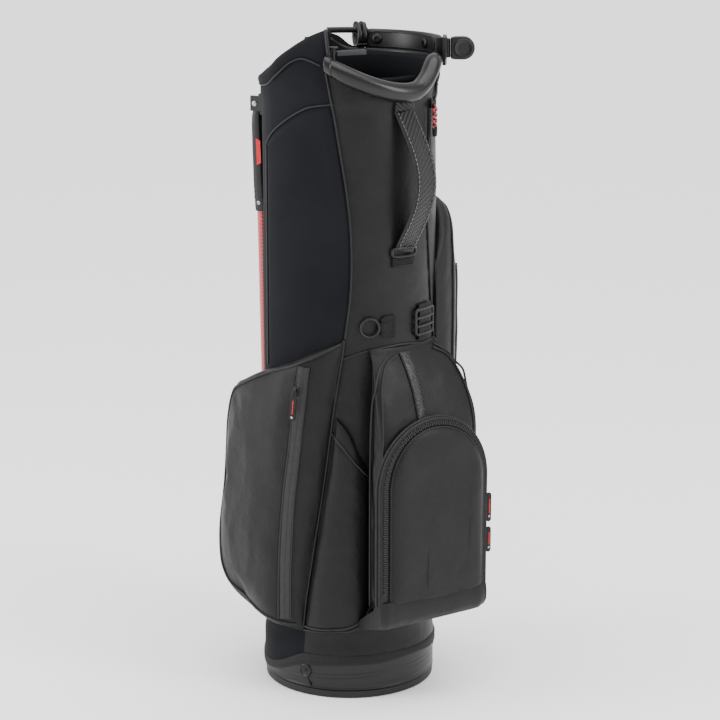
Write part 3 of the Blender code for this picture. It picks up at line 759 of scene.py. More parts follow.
def rubber():
    surface = Surface("rubber_grip", (0.0045, 0.0045, 0.0045), 0.62, specular=0.25)
    place = surface.object_place()
    surface.vary_colour(surface.noise(place, 60.0, 2.0, 0.5), 0.2)
    surface.bump(surface.noise(place, 900.0, 3.0, 0.5), 0.2, 0.0003)
    return surface.mat


def steel():
    surface = Surface("satin_steel", (0.30, 0.30, 0.31), 0.30, metallic=1.0)
    place = surface.object_place()
    surface.vary_roughness(surface.noise(place, 180.0, 2.0, 0.5), 0.08)
    surface.vary_colour(surface.noise(place, 80.0, 2.0, 0.5), 0.1)
    surface.bump(surface.noise(place, 900.0, 2.0, 0.5), 0.08, 0.0002)
    return surface.mat


def blackened_metal():
    surface = Surface("blackened_metal", (0.010, 0.010, 0.011), 0.36, metallic=0.4, specular=0.4)
    place = surface.object_place()
    surface.vary_roughness(surface.noise(place, 120.0, 2.0, 0.5), 0.08)
    surface.vary_colour(surface.noise(place, 60.0, 2.0, 0.5), 0.15)
    surface.bump(surface.noise(place, 700.0, 2.0, 0.5), 0.1, 0.0002)
    return surface.mat


def twill(surface, place, pitch, colours, strength, distance):
    """2x2 twill: diagonal bands, with the crossing threads between them."""
    split = surface.node("ShaderNodeSeparateXYZ")
    surface.link(place, split.inputs[0])
    turns = 2 * math.pi / pitch
    diagonal = surface.math("SINE",
                            surface.math("MULTIPLY", surface.math("ADD", split.outputs[0],
                                                                  split.outputs[1]),
                                                 turns))
    cross = surface.math("SINE", surface.math("MULTIPLY", surface.math("SUBTRACT", split.outputs[0],
                                                                       split.outputs[1]), turns * 2))
    height = surface.math("ADD", diagonal, surface.math("MULTIPLY", cross, 0.35))
    surface.bump(height, strength, distance)
    factor = surface.math("ADD", surface.math("MULTIPLY", height, 0.36), 0.5)
    surface.link(surface.ramp(factor, *colours, stops=(0.2, 0.8)), surface.shader.inputs["Base Color"])


def carbon_red():
    surface = Surface("red_carbon", (0.45, 0.01, 0.015), 0.28, coat=0.8)
    twill(surface, surface.uv_place(), 0.0052, ((0.16, 0.003, 0.006), (0.68, 0.016, 0.022)), 0.25, 0.0003)
    return surface.mat


def handle_twill():
    surface = Surface("handle_twill", (0.008, 0.008, 0.009), 0.40, sheen=0.02, specular=0.35)
    twill(surface, surface.uv_place(), 0.0075, ((0.003, 0.003, 0.003), (0.014, 0.014, 0.015)), 0.75, 0.0011)
    return surface.mat


def webbing():
    surface = Surface("ribbed_webbing", (0.005, 0.005, 0.0055), 0.70, sheen=0.02, specular=0.2)
    place = surface.uv_place()
    split = surface.node("ShaderNodeSeparateXYZ")
    surface.link(place, split.inputs[0])
    ribs = surface.math("SINE", surface.math("MULTIPLY", split.outputs[1], 2 * math.pi / 0.0016))
    surface.bump(ribs, 0.5, 0.0004)
    surface.vary_colour(surface.noise(surface.object_place(), 220.0, 2.0, 0.5), 0.3)
    return surface.mat


def zip_tape():
    surface = Surface("zip_tape", (0.0140, 0.0140, 0.0150), 0.50, specular=0.30)
    place = surface.object_place()
    surface.vary_colour(surface.noise(place, 150.0, 3.0, 0.5), 0.18)
    surface.vary_roughness(surface.noise(place, 90.0, 2.0, 0.5), 0.08)
    surface.bump(surface.noise(place, 800.0, 2.0, 0.5), 0.12, 0.0002)
    return surface.mat


def piping_cloth():
    surface = Surface("piping_cloth", (0.0055, 0.0055, 0.0060), 0.50, sheen=0.02, specular=0.28)
    place = surface.object_place()
    surface.vary_colour(surface.noise(place, 120.0, 2.0, 0.5), 0.25)
    surface.bump(surface.noise(place, 500.0, 3.0, 0.6), 0.25, 0.0004)
    return surface.mat


def thread(name="dark_thread", colour=(0.012, 0.012, 0.013)):
    surface = Surface(name, colour, 0.6, sheen=0.03, specular=0.25)
    place = surface.object_place()
    surface.vary_colour(surface.noise(place, 900.0, 2.0, 0.5), 0.3)
    surface.bump(surface.noise(place, 2500.0, 1.0, 0.5), 0.3, 0.0002)
    return surface.mat


def red_cord():
    surface = Surface("red_black_braid", (0.55, 0.02, 0.03), 0.6, sheen=0.2)
    place = surface.uv_place()
    split = surface.node("ShaderNodeSeparateXYZ")
    surface.link(place, split.inputs[0])
    turns = 2 * math.pi / 0.0065
    wave = surface.math("SINE",
                        surface.math("MULTIPLY", surface.math("ADD", split.outputs[0], split.outputs[1]),
                                     turns))
    factor = surface.math("ADD", surface.math("MULTIPLY", wave, 0.5), 0.5)
    surface.link(surface.ramp(factor, (0.012, 0.012, 0.013), (0.62, 0.03, 0.05), (0.42, 0.58)),
                 surface.shader.inputs["Base Color"])
    surface.bump(wave, 0.5, 0.0005)
    return surface.mat


def floor_paint():
    surface = Surface("pale_floor", (0.93, 0.93, 0.93), 0.65, specular=0.25)
    surface.vary_roughness(surface.noise(surface.object_place(), 3.0, 2.0, 0.5), 0.04)
    return surface.mat


SHELL = shell_fabric()
PAD = pad_fabric()
LINING = lining_mesh()
PLASTIC = moulded()
LIP_PLASTIC = moulded("lip_plastic", (0.0045, 0.0045, 0.0048), 0.27, 0.05)
MATT_PLASTIC = moulded("matt_plastic", (0.0065, 0.0065, 0.0070), 0.52, 0.2)
RUBBER = rubber()
STEEL = steel()
DARK_METAL = blackened_metal()
CARBON = carbon_red()
TWILL = handle_twill()
WEBBING = webbing()
TAPE = zip_tape()
PIPING = piping_cloth()
THREAD = thread()
PALE_THREAD = thread("pale_thread", (0.090, 0.093, 0.100))
RED_THREAD = thread("red_thread", (0.50, 0.015, 0.02))
BRAID = red_cord()


# ------------------------------------------------------------------ camera, floor and light

def camera():
    data = bpy.data.cameras.new("camera")
    data.lens = CAMERA_LENS
    data.sensor_width = 36.0
    data.shift_x = CAMERA_SHIFT_X
    data.clip_end = 200.0
    obj = bpy.data.objects.new("camera", data)
    obj.location = polar(CAMERA_AZIMUTH, CAMERA_DISTANCE, CAMERA_HEIGHT)
    obj.rotation_euler = (math.radians(90 - CAMERA_PITCH), 0, math.radians(CAMERA_AZIMUTH))
    bpy.context.scene.collection.objects.link(obj)
    bpy.context.scene.camera = obj


def area_light(name, psi, distance, height, size, power, target=(0, 0, 0.45)):
    data = bpy.data.lights.new(name, "AREA")
    data.shape = "RECTANGLE"
    data.size = size[0]
    data.size_y = size[1]
    data.energy = power
    obj = bpy.data.objects.new(name, data)
    obj.location = polar(psi, distance, height)
    way = Vector(target) - obj.location
    obj.rotation_euler = way.to_track_quat("-Z", "Y").to_euler()
    bpy.context.scene.collection.objects.link(obj)


def studio():
    build = bmesh.new()
    bmesh.ops.create_grid(build, x_segments=8, y_segments=8, size=40.0)
    mesh = bpy.data.meshes.new("floor")
    build.to_mesh(mesh)
    build.free()
    mesh.materials.append(floor_paint())
    floor = bpy.data.objects.new("floor", mesh)
    floor.location.z = -0.0006
    bpy.context.scene.collection.objects.link(floor)
    world = bpy.data.worlds.new("studio")
    world.use_nodes = True
    world.node_tree.nodes["Background"].inputs["Color"].default_value = (1.0, 1.0, 1.0, 1.0)
    world.node_tree.nodes["Background"].inputs["Strength"].default_value = 1.0
    bpy.context.scene.world = world
    area_light("key_right", 24, 2.2, 1.6, (0.7, 1.8), 42)
    area_light("fill_left", -112, 2.4, 1.3, (0.8, 2.0), 46)
    overhead = bpy.data.lights.new("overhead", "SUN")
    overhead.energy = 3.6
    overhead.angle = math.radians(70)
    lamp = bpy.data.objects.new("overhead", overhead)
    lamp.rotation_euler = (math.radians(6), 0, math.radians(-35))
    bpy.context.scene.collection.objects.link(lamp)


camera()
studio()


# ------------------------------------------------------------------ tube

def tube_panels():
    """Taut fabric panels round the tube, with soft puckers along their seams."""
    def outer(psi, z, u, v):
        place = polar(psi, BODY_R, z)
        near_seam = 1.0 - smoothstep(0.0, 0.10, min(u, 1 - u))
        free = smoothstep(0.062, 0.090, z)
        broad = soft_noise(place, 9.0, 2.0) * 0.0011 * free
        fold = ridged(place, 15.0, (1.0, 1.0, 0.35), 5.0) * 0.0008 * free
        over_boot = 0.0026 * (1 - smoothstep(0.062, 0.080, z))
        pucker = soft_noise(Vector((place.x, place.y, place.z * 3.0)), 40.0, 1.0) * 0.0009 * near_seam
        dip = -0.0008 * near_seam
        over_ring = 0.0022 * smoothstep(0.780, 0.793, z)
        yoke = 0.0016 * smoothstep(0.792, 0.808, z) * math.exp(-((psi + 76) / 22) ** 2)
        return BODY_R + broad + fold + pucker * free + dip + over_ring + yoke + over_boot
    low = lambda psi: rim_top(psi) - 0.002
    spine_top = lambda psi: follow(LIP_LINE, psi) - 0.0070
    left_top = lambda psi: follow(SHOULDER_SEAM, psi) + 0.0030
    right_top = lambda psi: follow([(38, 0.825), (60, 0.834), (64.5, 0.8035), (66, 0.8030)], psi)
    spans = (
        ("spine_cloth", lambda z: -seam_angle(z), right_seam, spine_top, SHELL, "shell_fabric",
         "spine_panel"),
        ("left_cloth", -138, lambda z: -seam_angle(z) - 0.1, left_top, PAD, "pad_fabric", "left_panel"),
        ("right_cloth", lambda z: right_seam(z) + 0.1, 138, right_top, SHELL, "shell_fabric",
         "right_panel"),
        ("leg_side_cloth", 138.1, 221.9, lambda psi: 0.8080, SHELL, "shell_fabric", "leg_side_panel"),
    )
    for name, psi0, psi1, high, mat, slot, node in spans:
        made = shell(name, psi0, psi1, low, high, outer, 0.0035, mat, columns=70, rows=110)
        piece(made, "bag", slot, (node,))


def seam_piping():
    """Corded seams down both sides of the spine and both sides of the leg side."""
    for name, angle, low in (("seam_cord_left", lambda z: -seam_angle(z), 0.490),
                             ("seam_cord_right", right_seam, 0.455)):
        points = []
        for z in steps(low, 0.8290, 60):
            radius = BODY_R + 0.0010 + 0.0022 * smoothstep(0.780, 0.793, z)
            points.append(polar(angle(z), radius, z))
        cord(name, points, 0.0015)
    for name, psi in (("rear_cord_left", -138), ("rear_cord_right", 138)):
        points = [polar(psi, BODY_R + 0.0010, z) for z in steps(0.064, TUBE_HIGH, 50)]
        cord(name, points, 0.0016)
    for name, psi in (("rear_stitch_left", -136.2), ("rear_stitch_right", 136.2)):
        points = [polar(psi, BODY_R + 0.0012, z) for z in steps(TUBE_LOW + 0.004, TUBE_HIGH - 0.004, 60)]
        normals = [polar(psi, 1, 0)] * len(points)
        stitches(name, points, normals)


def hip_pad():
    """Smooth padded panel that rests against the carrier, with a welt along its arched top."""
    def outer(psi, z, u, v):
        edge = min(u, 1 - u) * 0.11
        rise = smoothstep(0.0, 0.011, min(edge, v * 0.28, (1 - v) * 0.28))
        wave = soft_noise(polar(psi, BODY_R, z), 11.0, 4.0) * 0.0007
        return BODY_R + 0.0010 + 0.0042 * rise + wave * rise
    pad = shell("hip_pad_soft", -103, lambda z: -seam_angle(z) - 2.2, lambda psi: 0.430,
                lambda psi: follow(HIP_TOP, psi), outer, 0.0020, PAD, columns=60, rows=80)
    piece(pad, "bag", "pad_fabric", ("hip_pad",))
    points = [polar(psi, BODY_R + 0.0026, follow(HIP_TOP, psi) + 0.0014) for psi in steps(-103, -45, 50)]
    cord("hip_pad_welt", points, 0.0012, "pad_fabric")
    points = [polar(-103.4, BODY_R + 0.0020, z) for z in steps(0.440, 0.729, 40)]
    cord("hip_pad_edge", points, 0.0015, "pad_fabric")


# ------------------------------------------------------------------ collar

def collar():
    """Moulded inner ring with a mesh lining that shows inside the mouth."""
    def top(psi):
        if psi > 180:
            psi -= 360
        if abs(psi) <= 52:
            return follow(LIP_LINE, psi) - 0.0050
        if psi < 0:
            return follow(SHOULDER_TOP, psi) - 0.012
        return follow([(52, 0.838), (62, 0.838), (75, 0.838), (140, 0.838), (150, 0.842), (159, 0.854)],
                      psi)
    ring = []
    for psi in steps(-180, 177, 119):
        z = top(psi)
        ring.append([polar(psi, 0.1085, 0.7895), polar(psi, 0.1130, 0.7895), polar(psi, 0.1130, z - 0.0015),
                     polar(psi, 0.1118, z), polar(psi, 0.1097, z), polar(psi, 0.1085, z - 0.0015)])
    made = loft("collar_ring", ring, PLASTIC, closed=True)
    piece(made, "bag", "moulded_black", ("collar_frame",))
    ring = []
    for psi in steps(-180, 177, 119):
        z = top(psi) - 0.003
        ring.append([polar(psi, 0.1070, 0.7800), polar(psi, 0.1082, 0.7800), polar(psi, 0.1082, z),
                     polar(psi, 0.1070, z)])
    piece(loft("collar_lining", ring, LINING, closed=True), "bag", "pad_fabric")
    gusset_top = [(136, 0.8390), (144, 0.8415), (152.5, 0.8540), (159, 0.8580)]
    gap_fill = shell("rail_gusset", 135, 160, lambda psi: 0.820, lambda psi: follow(gusset_top, psi),
                     lambda psi, z, u, v: 0.1140, 0.0030, LINING, columns=30, rows=8)
    piece(gap_fill, "bag", "pad_fabric")


def lip():
    """Thick satin lip over the spine, with a seamed sleeve where it enters the left shoulder."""
    loops = []
    for psi in steps(-48.5, 57.0, 80):
        height = follow(LIP_LINE, psi) - 0.0070 * smoothstep(26, 50, psi)
        grow = 1.0 - 0.16 * smoothstep(-38, -48, psi) - 0.28 * smoothstep(24, 46, psi)
        centre = polar(psi, 0.1215 - 0.0095 * smoothstep(16, 48, psi), height - 0.0012)
        out = polar(psi, 1.0, 0)
        ring = []
        for a in turns(28):
            reach = 0.0124 * math.cos(a) * grow
            rise = (0.0112 if math.sin(a) > 0 else 0.0142) * math.sin(a) * grow
            ring.append(centre + out * reach + Vector((0, 0, rise)))
        loops.append(ring)
    made = loft("lip_moulding", loops, LIP_PLASTIC, sharp=60)
    piece(made, "bag", "moulded_black", ("spine_lip",))
    loops = []
    for psi, size in ((-49.2, 0.0100), (-48.6, 0.0108), (-45.6, 0.0117), (-45.2, 0.0110)):
        centre = polar(psi, 0.1215, follow(LIP_LINE, psi) - 0.0022)
        out = polar(psi, 1.0, 0)
        loops.append([centre + out * math.cos(a) * size + Vector((0, 0, math.sin(a) * size * 1.10))
                      for a in turns(24)])
    piece(loft("lip_sleeve", loops, LIP_PLASTIC), "bag", "moulded_black")


def shoulder(name, psi0, psi1, low, high, node, columns):
    """Padded wrap over the rim: bulges outside, rolls over the top and down the inside."""
    loops = []
    for psi in steps(psi0, psi1, columns):
        z0 = low(psi)
        z1 = high(psi)
        tall = z1 - z0
        taper = smoothstep(0.0, 0.06, abs(psi - psi1) / 60.0) * smoothstep(0.0, 0.06,
                                                                           abs(psi - psi0) / 60.0)
        bulge = 0.0016 + 0.0012 * taper
        lean = min(tall * 0.10, 0.006)
        wave = soft_noise(polar(psi, 0.12, z1), 14.0, 3.0) * 0.0007
        slim = 0.0022 * smoothstep(-84, -100, psi)
        profile = [
            (0.1142, z0 - 0.0010), (0.1160 - slim * 0.5, z0 + 0.0006),
            (0.1170 + bulge * 0.4 - slim, z0 + tall * 0.15), (0.1176 + bulge - slim, z0 + tall * 0.35),
            (0.1176 + bulge + wave - slim, z0 + tall * 0.55),
            (0.1174 + bulge - lean * 0.4 - slim, z0 + tall * 0.75),
            (0.1170 - lean * 0.8 - slim, z0 + tall * 0.90), (0.1154 - lean - slim * 0.6, z1 - 0.0008),
            (0.1124 - lean, z1 + 0.0004), (0.1090 - lean, z1 - 0.0012), (0.1068 - lean * 0.8, z1 - 0.0050),
            (0.1060 - lean * 0.3, z1 - tall * 0.5 - 0.002), (0.1064, z0 + 0.001), (0.1080, z0 - 0.0010),
        ]
        loops.append([polar(psi, radius, z) for radius, z in profile])
    made = loft(name, loops, PAD, sharp=70)
    piece(made, "bag", "pad_fabric", (node,))
    return made


def shoulders():
    shoulder("left_shoulder_wrap", -201, -50.5, lambda psi: follow(SHOULDER_SEAM, psi),
             lambda psi: follow(SHOULDER_TOP, psi), "left_shoulder_pad", 110)
    shoulder("right_shoulder_wrap", 63.5, 158, lambda psi: 0.800, lambda psi: 0.8345, "right_shoulder_pad",
             60)
    # Binding round the left wrap's front end
    z0 = follow(SHOULDER_SEAM, -51)
    z1 = follow(SHOULDER_TOP, -51)
    ends = [polar(-46.6, 0.1180, z0 + 0.004), polar(-47.4, 0.1186, z0 + 0.014),
            polar(-48.6, 0.1180, z0 + 0.030), polar(-49.8, 0.1146, z1 - 0.004),
            polar(-50.6, 0.1100, z1 - 0.001), polar(-51.6, 0.1055, z1 - 0.006),
            polar(-52.6, 0.1040, z1 - 0.018), polar(-52.6, 0.1055, z0 + 0.008)]
    cord("left_wrap_binding", smooth_path(ends, 6), 0.0024, "pad_fabric")
    points = [polar(psi, 0.1168, 0.8000) for psi in steps(64, 158, 60)]
    cord("right_wrap_welt", points, 0.0011, "pad_fabric")
    points = []
    for psi in steps(-150, -53, 80):
        points.append(polar(psi, 0.1190 - 0.0026 * smoothstep(-84, -100, psi),
                            follow(SHOULDER_SEAM, psi) + 0.0022))
    cord("wrap_seam_cord", points, 0.0011, "pad_fabric")


def rail_and_bridge():
    loops = []
    for psi in steps(133, 160, 16):
        loops.append([polar(psi, 0.1162 + 0.0032 * math.cos(a), 0.8610 + 0.0042 * math.sin(a))
                      for a in turns(14)])
    piece(loft("rail_bar", loops, PLASTIC), "bag", "moulded_black", ("rear_rail",))
    profile = [(0.1124, 0.8375), (0.1120, 0.8420), (0.1126, 0.8580), (0.1138, 0.8618), (0.1160, 0.8632),
               (0.1205, 0.8630), (0.1222, 0.8612), (0.1230, 0.8560), (0.1228, 0.8420), (0.1218, 0.8352),
               (0.1190, 0.8336), (0.1150, 0.8344)]
    loops = []
    middle_r = 0.1175
    middle_z = 0.8485
    for psi in steps(63.5, 134.5, 60):
        edge = min(psi - 63.5, 134.5 - psi)
        size = 1.0 if edge > 3.0 else math.sqrt(max(1 - (1 - edge / 3.0) ** 2 * 0.55, 0.05))
        loops.append([polar(psi, middle_r + (r - middle_r) * size, middle_z + (z - middle_z) * size)
                      for r, z in profile])
    band = loft("bridge_band", loops, PLASTIC, sharp=50)
    out = Vector((0.819, -0.574, 0))
    side = Vector((0.574, 0.819, 0))
    hinge = Vector((0.117, -0.056, 0.847))
    corners = [hinge - out * 0.0160 + side * a + Vector((0, 0, b))
               for a, b in ((-0.0062, -0.0120), (0.0062, -0.0120), (0.0062, 0.0140), (-0.0062, 0.0140))]
    block = outline_block("ear_mount", corners, (0, 0, 0), out * 0.0152, PLASTIC, bevel=0.0012)
    knuckle = lathe("ear_knuckle", hinge - Vector((0, 0, 0.0125)), (0, 0, 1),
                    [(0, 0.0), (0, 0.0028), (0.0008, 0.0034), (0.0242, 0.0034), (0.0250, 0.0028),
                     (0.0250, 0.0)], PLASTIC)
    whole = join_objects("bridge_moulding", [band, block, knuckle])
    piece(whole, "bag", "moulded_black", ("strap_bridge",))
    groove = [polar(psi, 0.1140, 0.8352) for psi in steps(65, 134, 50)]
    piece(tube("bridge_bead", groove, 0.0034, PLASTIC, sides=12), "bag", "moulded_black")
    rim = [polar(66.5, 0.1120, 0.8560), polar(66.0, 0.1120, 0.8500), polar(67.5, 0.1120, 0.8425)]
    rim += [polar(psi, 0.1120, 0.8408) for psi in steps(72, 127, 24)]
    rim += [polar(131.0, 0.1120, 0.8425), polar(132.2, 0.1120, 0.8500), polar(131.0, 0.1120, 0.8575)]
    rim += [polar(psi, 0.1124, 0.8600) for psi in steps(127, 72, 24)]
    piece(tube("bridge_rim", smooth_path(rim, 4, closed=True), 0.0007, PLASTIC, sides=8, closed=True),
          "bag", "moulded_black")
    for name, psi, node in (("bolt_front", 83, "bridge_bolt_front"),
                            ("bolt_rear", 126, "bridge_bolt_rear")):
        bolt = lathe(name, polar(psi, 0.1122, 0.8500), -polar(psi, 1, 0),
                     [(0, 0.0), (0, 0.0070), (0.0010, 0.0070), (0.0020, 0.0062), (0.0027, 0.0046),
                      (0.0029, 0.0030), (0.0010, 0.0026), (0.0008, 0.0)], DARK_METAL, sides=24)
        piece(bolt, "bag", "steel", (node,))


def club_clip():
    """Twin-lobed open clip at the bridge's rear end."""
    centre = polar(138.5, 0.1215, 0.8530)
    axis = polar(250.0, 1.0, 0)
    out = axis.cross(Vector((0, 0, 1))).normalized()
    parts = []
    for number, offset in enumerate((-0.0034, 0.0034)):
        loops = []
        for degrees in steps(90 + 20, 450 - 20, 44):
            a = math.radians(degrees)
            way = out * math.cos(a) + Vector((0, 0, 1)) * math.sin(a)
            flare = 0.0018 * smoothstep(0.80, 1.0, abs(degrees - 270) / 160.0)
            ring = []
            for k in range(10):
                b = 2 * math.pi * k / 10
                ring.append(centre + axis * (offset * (1 + flare * 60) + 0.0036 * math.cos(b))
                            + way * (0.0146 + flare + 0.0038 * math.sin(b)))
            loops.append(ring)
        parts.append(loft(f"clip_lobe_{number}", loops, PLASTIC))
    base = centre - Vector((0, 0, 0.0165))
    corners = [base + out * a + Vector((0, 0, b)) for a,
               b in ((-0.007, -0.003), (0.007, -0.003), (0.007, 0.004),
                                                              (-0.007, 0.004))]
    parts.append(outline_block("clip_foot", corners, axis * -0.0062, axis * 0.0062, PLASTIC, bevel=0.0010))
    for k in range(4):
        spot = centre - Vector((0, 0, 0.010 - k * 0.0052)) - out * 0.0150
        parts.append(tube(f"clip_rib_{k}", [spot - axis * 0.0060, spot + axis * 0.0060], 0.0012, PLASTIC))
    piece(join_objects("strap_clip", parts), "bag", "moulded_black", ("club_clip",))


def ear():
    """Round-ended swivel paddle with a raised rim and a dished centre."""
    out = Vector((0.819, -0.574, 0))
    side = Vector((0.574, 0.819, 0))
    up = Vector((0, 0, 1))
    hinge = Vector((0.117, -0.056, 0.847))
    outline = []
    for angle in steps(-90, 90, 28):
        a = math.radians(angle)
        outline.append(hinge + out * (0.0200 + 0.0150 * math.cos(a)) + up * 0.0150 * math.sin(a))
    outline += [hinge + out * 0.0100 + up * 0.0149, hinge + out * 0.0036 + up * 0.0138,
                hinge + out * 0.0036 - up * 0.0138, hinge + out * 0.0100 - up * 0.0149]
    body = outline_block("ear_body", outline, side * -0.0058, side * 0.0058, PLASTIC, bevel=0.0022,
                         segments=4)
    parts = [body]
    for number, way in enumerate((-1, 1)):
        centre = hinge + out * 0.0200 + side * 0.0050 * way
        parts.append(lathe(f"ear_dish_{number}", centre, side * way,
                           [(0, 0.0), (0, 0.0128), (0.0016, 0.0127), (0.0023, 0.0118), (0.0022, 0.0108),
                            (0.0012, 0.0090), (0.0006, 0.0060), (0.0004, 0.0025),
                            (0.0004, 0.0)], PLASTIC, sides=40))
    piece(join_objects("ear_paddle", parts), "ear", "moulded_black", ("swivel_ear",))
    plate = shell("band_end_plate", 43, 61.5, lambda psi: 0.8295, lambda psi: 0.8650, lambda psi, z, u,
                  v: 0.1258, 0.0040, PLASTIC, columns=24, rows=12)
    piece(plate, "bag", "moulded_black")


def latch():
    hinge = Vector((-0.0775, -0.0755, 0.8530))
    along = Vector((0.80, -0.10, 0)).normalized()
    across = Vector((0, 0, 1)).cross(along).normalized()
    up = Vector((0, 0, 1))
    corners = [hinge + along * a + across * b for a, b in
               ((0.0034, -0.0048), (0.0440, -0.0048), (0.0455, -0.0034), (0.0455, 0.0034), (0.0440, 0.0048),
                (0.0034, 0.0048))]
    bar = outline_block("latch_body", corners, up * -0.0032, up * 0.0030, TAPE, bevel=0.0011)
    collar_ring = lathe("latch_eye", hinge + up * 0.0062, up,
                        [(0, 0.0), (0, 0.0058), (0.0008, 0.0064), (0.0022, 0.0060),
                                                         (0.0028, 0.0)], MATT_PLASTIC, sides=20)
    groove = tube("latch_rib", [hinge + along * 0.009 + up * 0.0030, hinge + along * 0.041 + up * 0.0030],
                  0.0009, TAPE)
    whole = join_objects("latch_arm", [bar, groove])
    piece(whole, "latch", "matte_black", ("latch_bar",))
    post = lathe("latch_pin", hinge - up * 0.019, up,
                 [(0, 0), (0, 0.0027), (0.0250, 0.0027), (0.0250, 0.0)], DARK_METAL)
    piece(join_objects("latch_post", [post, collar_ring]), "bag", "moulded_black", ("latch_knuckle",))


def dividers():
    """Padded four-way grid at the mouth, over the fabric sheets of the tube."""
    parts = []
    for number, way in enumerate((Vector((1, 0, 0)), Vector((0, 1, 0)))):
        across = Vector((0, 0, 1)).cross(way)
        loops = []
        for t in steps(-0.1065, 0.1065, 60):
            swell = 1.0 + 0.06 * soft_noise(way * t, 60.0, number)
            sag = -0.0016 * math.cos(math.pi * t / 0.213)
            loops.append([way * t + Vector((0, 0, 0.8010 + sag)) + across * math.cos(a) * 0.0052 * swell
                          + Vector((0, 0, math.sin(a) * 0.0062 * swell))
                          for a in turns(16)])
        parts.append(loft(f"grid_arm_{number}", loops, PAD))
    grid = join_objects("divider_grid", parts)
    piece(grid, "bag", "pad_fabric", ("divider_top",))


tube_panels()
seam_piping()
hip_pad()
collar()
lip()
shoulders()
rail_and_bridge()
club_clip()
ear()
latch()
dividers()


# ------------------------------------------------------------------ pockets

def left_walls():
    outline = [(-0.0740, -0.0900), (-0.0980, -0.0880), (-0.1240, -0.0740), (-0.1410, -0.0480),
               (-0.1520, -0.0100), (-0.1580, 0.0300), (-0.1600, 0.0620), (-0.1540, 0.0880),
               (-0.1380, 0.0980), (-0.1180, 0.0860), (-0.0990, 0.0640)]
    top = [(-130, 0.405), (-115, 0.418), (-95, 0.438), (-70, 0.458), (-60, 0.468), (-39, 0.488)]
    low = [(-130, 0.150), (-118, 0.125), (-100, 0.108), (-70, 0.098), (-39, 0.088)]

    def fullness(v):
        upper = min(max((v - 0.30) / 0.70, 0.0), 1.0)
        return swell(v, 7.0) * (1.0 - 0.32 * upper ** 1.4)

    def warp(psi, z):
        return -130 + (psi + 130) * (130 - seam_angle(z)) / (130 - 39)
    return pocket_walls(outline[::-1], lambda psi: follow(low, psi), lambda psi: follow(top, psi),
                        fullness, warp)


def large_pocket():
    """Stuffed apparel pocket with corded edges and a sealed zip down its front."""
    pocket = stuffed("large_pocket", left_walls(), SHELL, cap=0.006, wrinkle=pocket_wrinkle(0.0016, 1.0))
    piece(pocket, "bag", "shell_fabric", ("left_pocket",))
    tree = surface_of(pocket)

    def edge_cord(name, route, radius=0.0018, lift=0.0006):
        points = [lay_radial(tree, psi, z, lift)[0] for psi, z in route]
        piece(tube(name, relaxed(points), radius, PIPING, sides=10), "bag", "shell_fabric")
        return points

    # Route round the face: up the back, along the top to the seam, and along the bottom
    outline = [(-119.5, 0.170), (-119.8, 0.200), (-119.8, 0.300), (-119.5, 0.370), (-117.5, 0.397),
               (-112, 0.409), (-100, 0.424), (-85, 0.440), (-70, 0.452), (-60, 0.462), (-50, 0.473),
               (-41.0, 0.483)]
    route = curve(outline, 7)
    edge_cord("large_pocket_top_cord", route)
    outline = [(-119.5, 0.170), (-118, 0.150), (-113, 0.133), (-104, 0.120), (-92, 0.111), (-80, 0.104),
               (-70, 0.099)]
    route = curve(outline, 7)
    edge_cord("large_pocket_low_cord", route)
    # Front edge, sewn in with the tube's own seam
    route = [(-seam_angle(z) - 0.6, z) for z in steps(0.094, 0.488, 70)]
    edge_cord("large_pocket_front_cord", route, lift=0.0010)
    zip_line(tree)
    return pocket


def zip_route(height):
    return follow([(0.105, -75.2), (0.200, -72.0), (0.300, -67.8), (0.400, -63.2), (0.456, -60.8)], height)


def zip_line(tree):
    """Sealed grey tape with a cord and a row of stitches down each side, and a thin line down its middle."""
    heights = steps(0.108, 0.454, 80)
    centre = [lay_radial(tree, zip_route(z), z, 0.0007) for z in heights]
    points = relaxed([p for p, n in centre], 3)
    normals = [n for p, n in centre]
    tape = ribbon("sealed_zip_tape", points, normals, 0.0135, 0.0016, TAPE, puff=0.0003)
    piece(tape, "bag", "shell_fabric")
    for number, shift in enumerate((-1, 1)):
        rows = [lay_radial(tree, zip_route(z) + shift * 2.9, z, 0.0011) for z in heights]
        edge = relaxed([p for p, n in rows], 3)
        cord(f"zip_edge_{number}", edge, 0.0013)
        line = [lay_radial(tree, zip_route(z) + shift * 4.3, z, 0.0004) for z in heights]
        row = dashes(f"zip_stitch_{number}", *along(line), THREAD)
        piece(row, "bag", "shell_fabric")
    middle = [lay_radial(tree, zip_route(z), z, 0.0015) for z in heights]
    piece(tube("zip_centre_line", relaxed([p for p, n in middle], 3), 0.0006, THREAD), "bag",
          "shell_fabric")


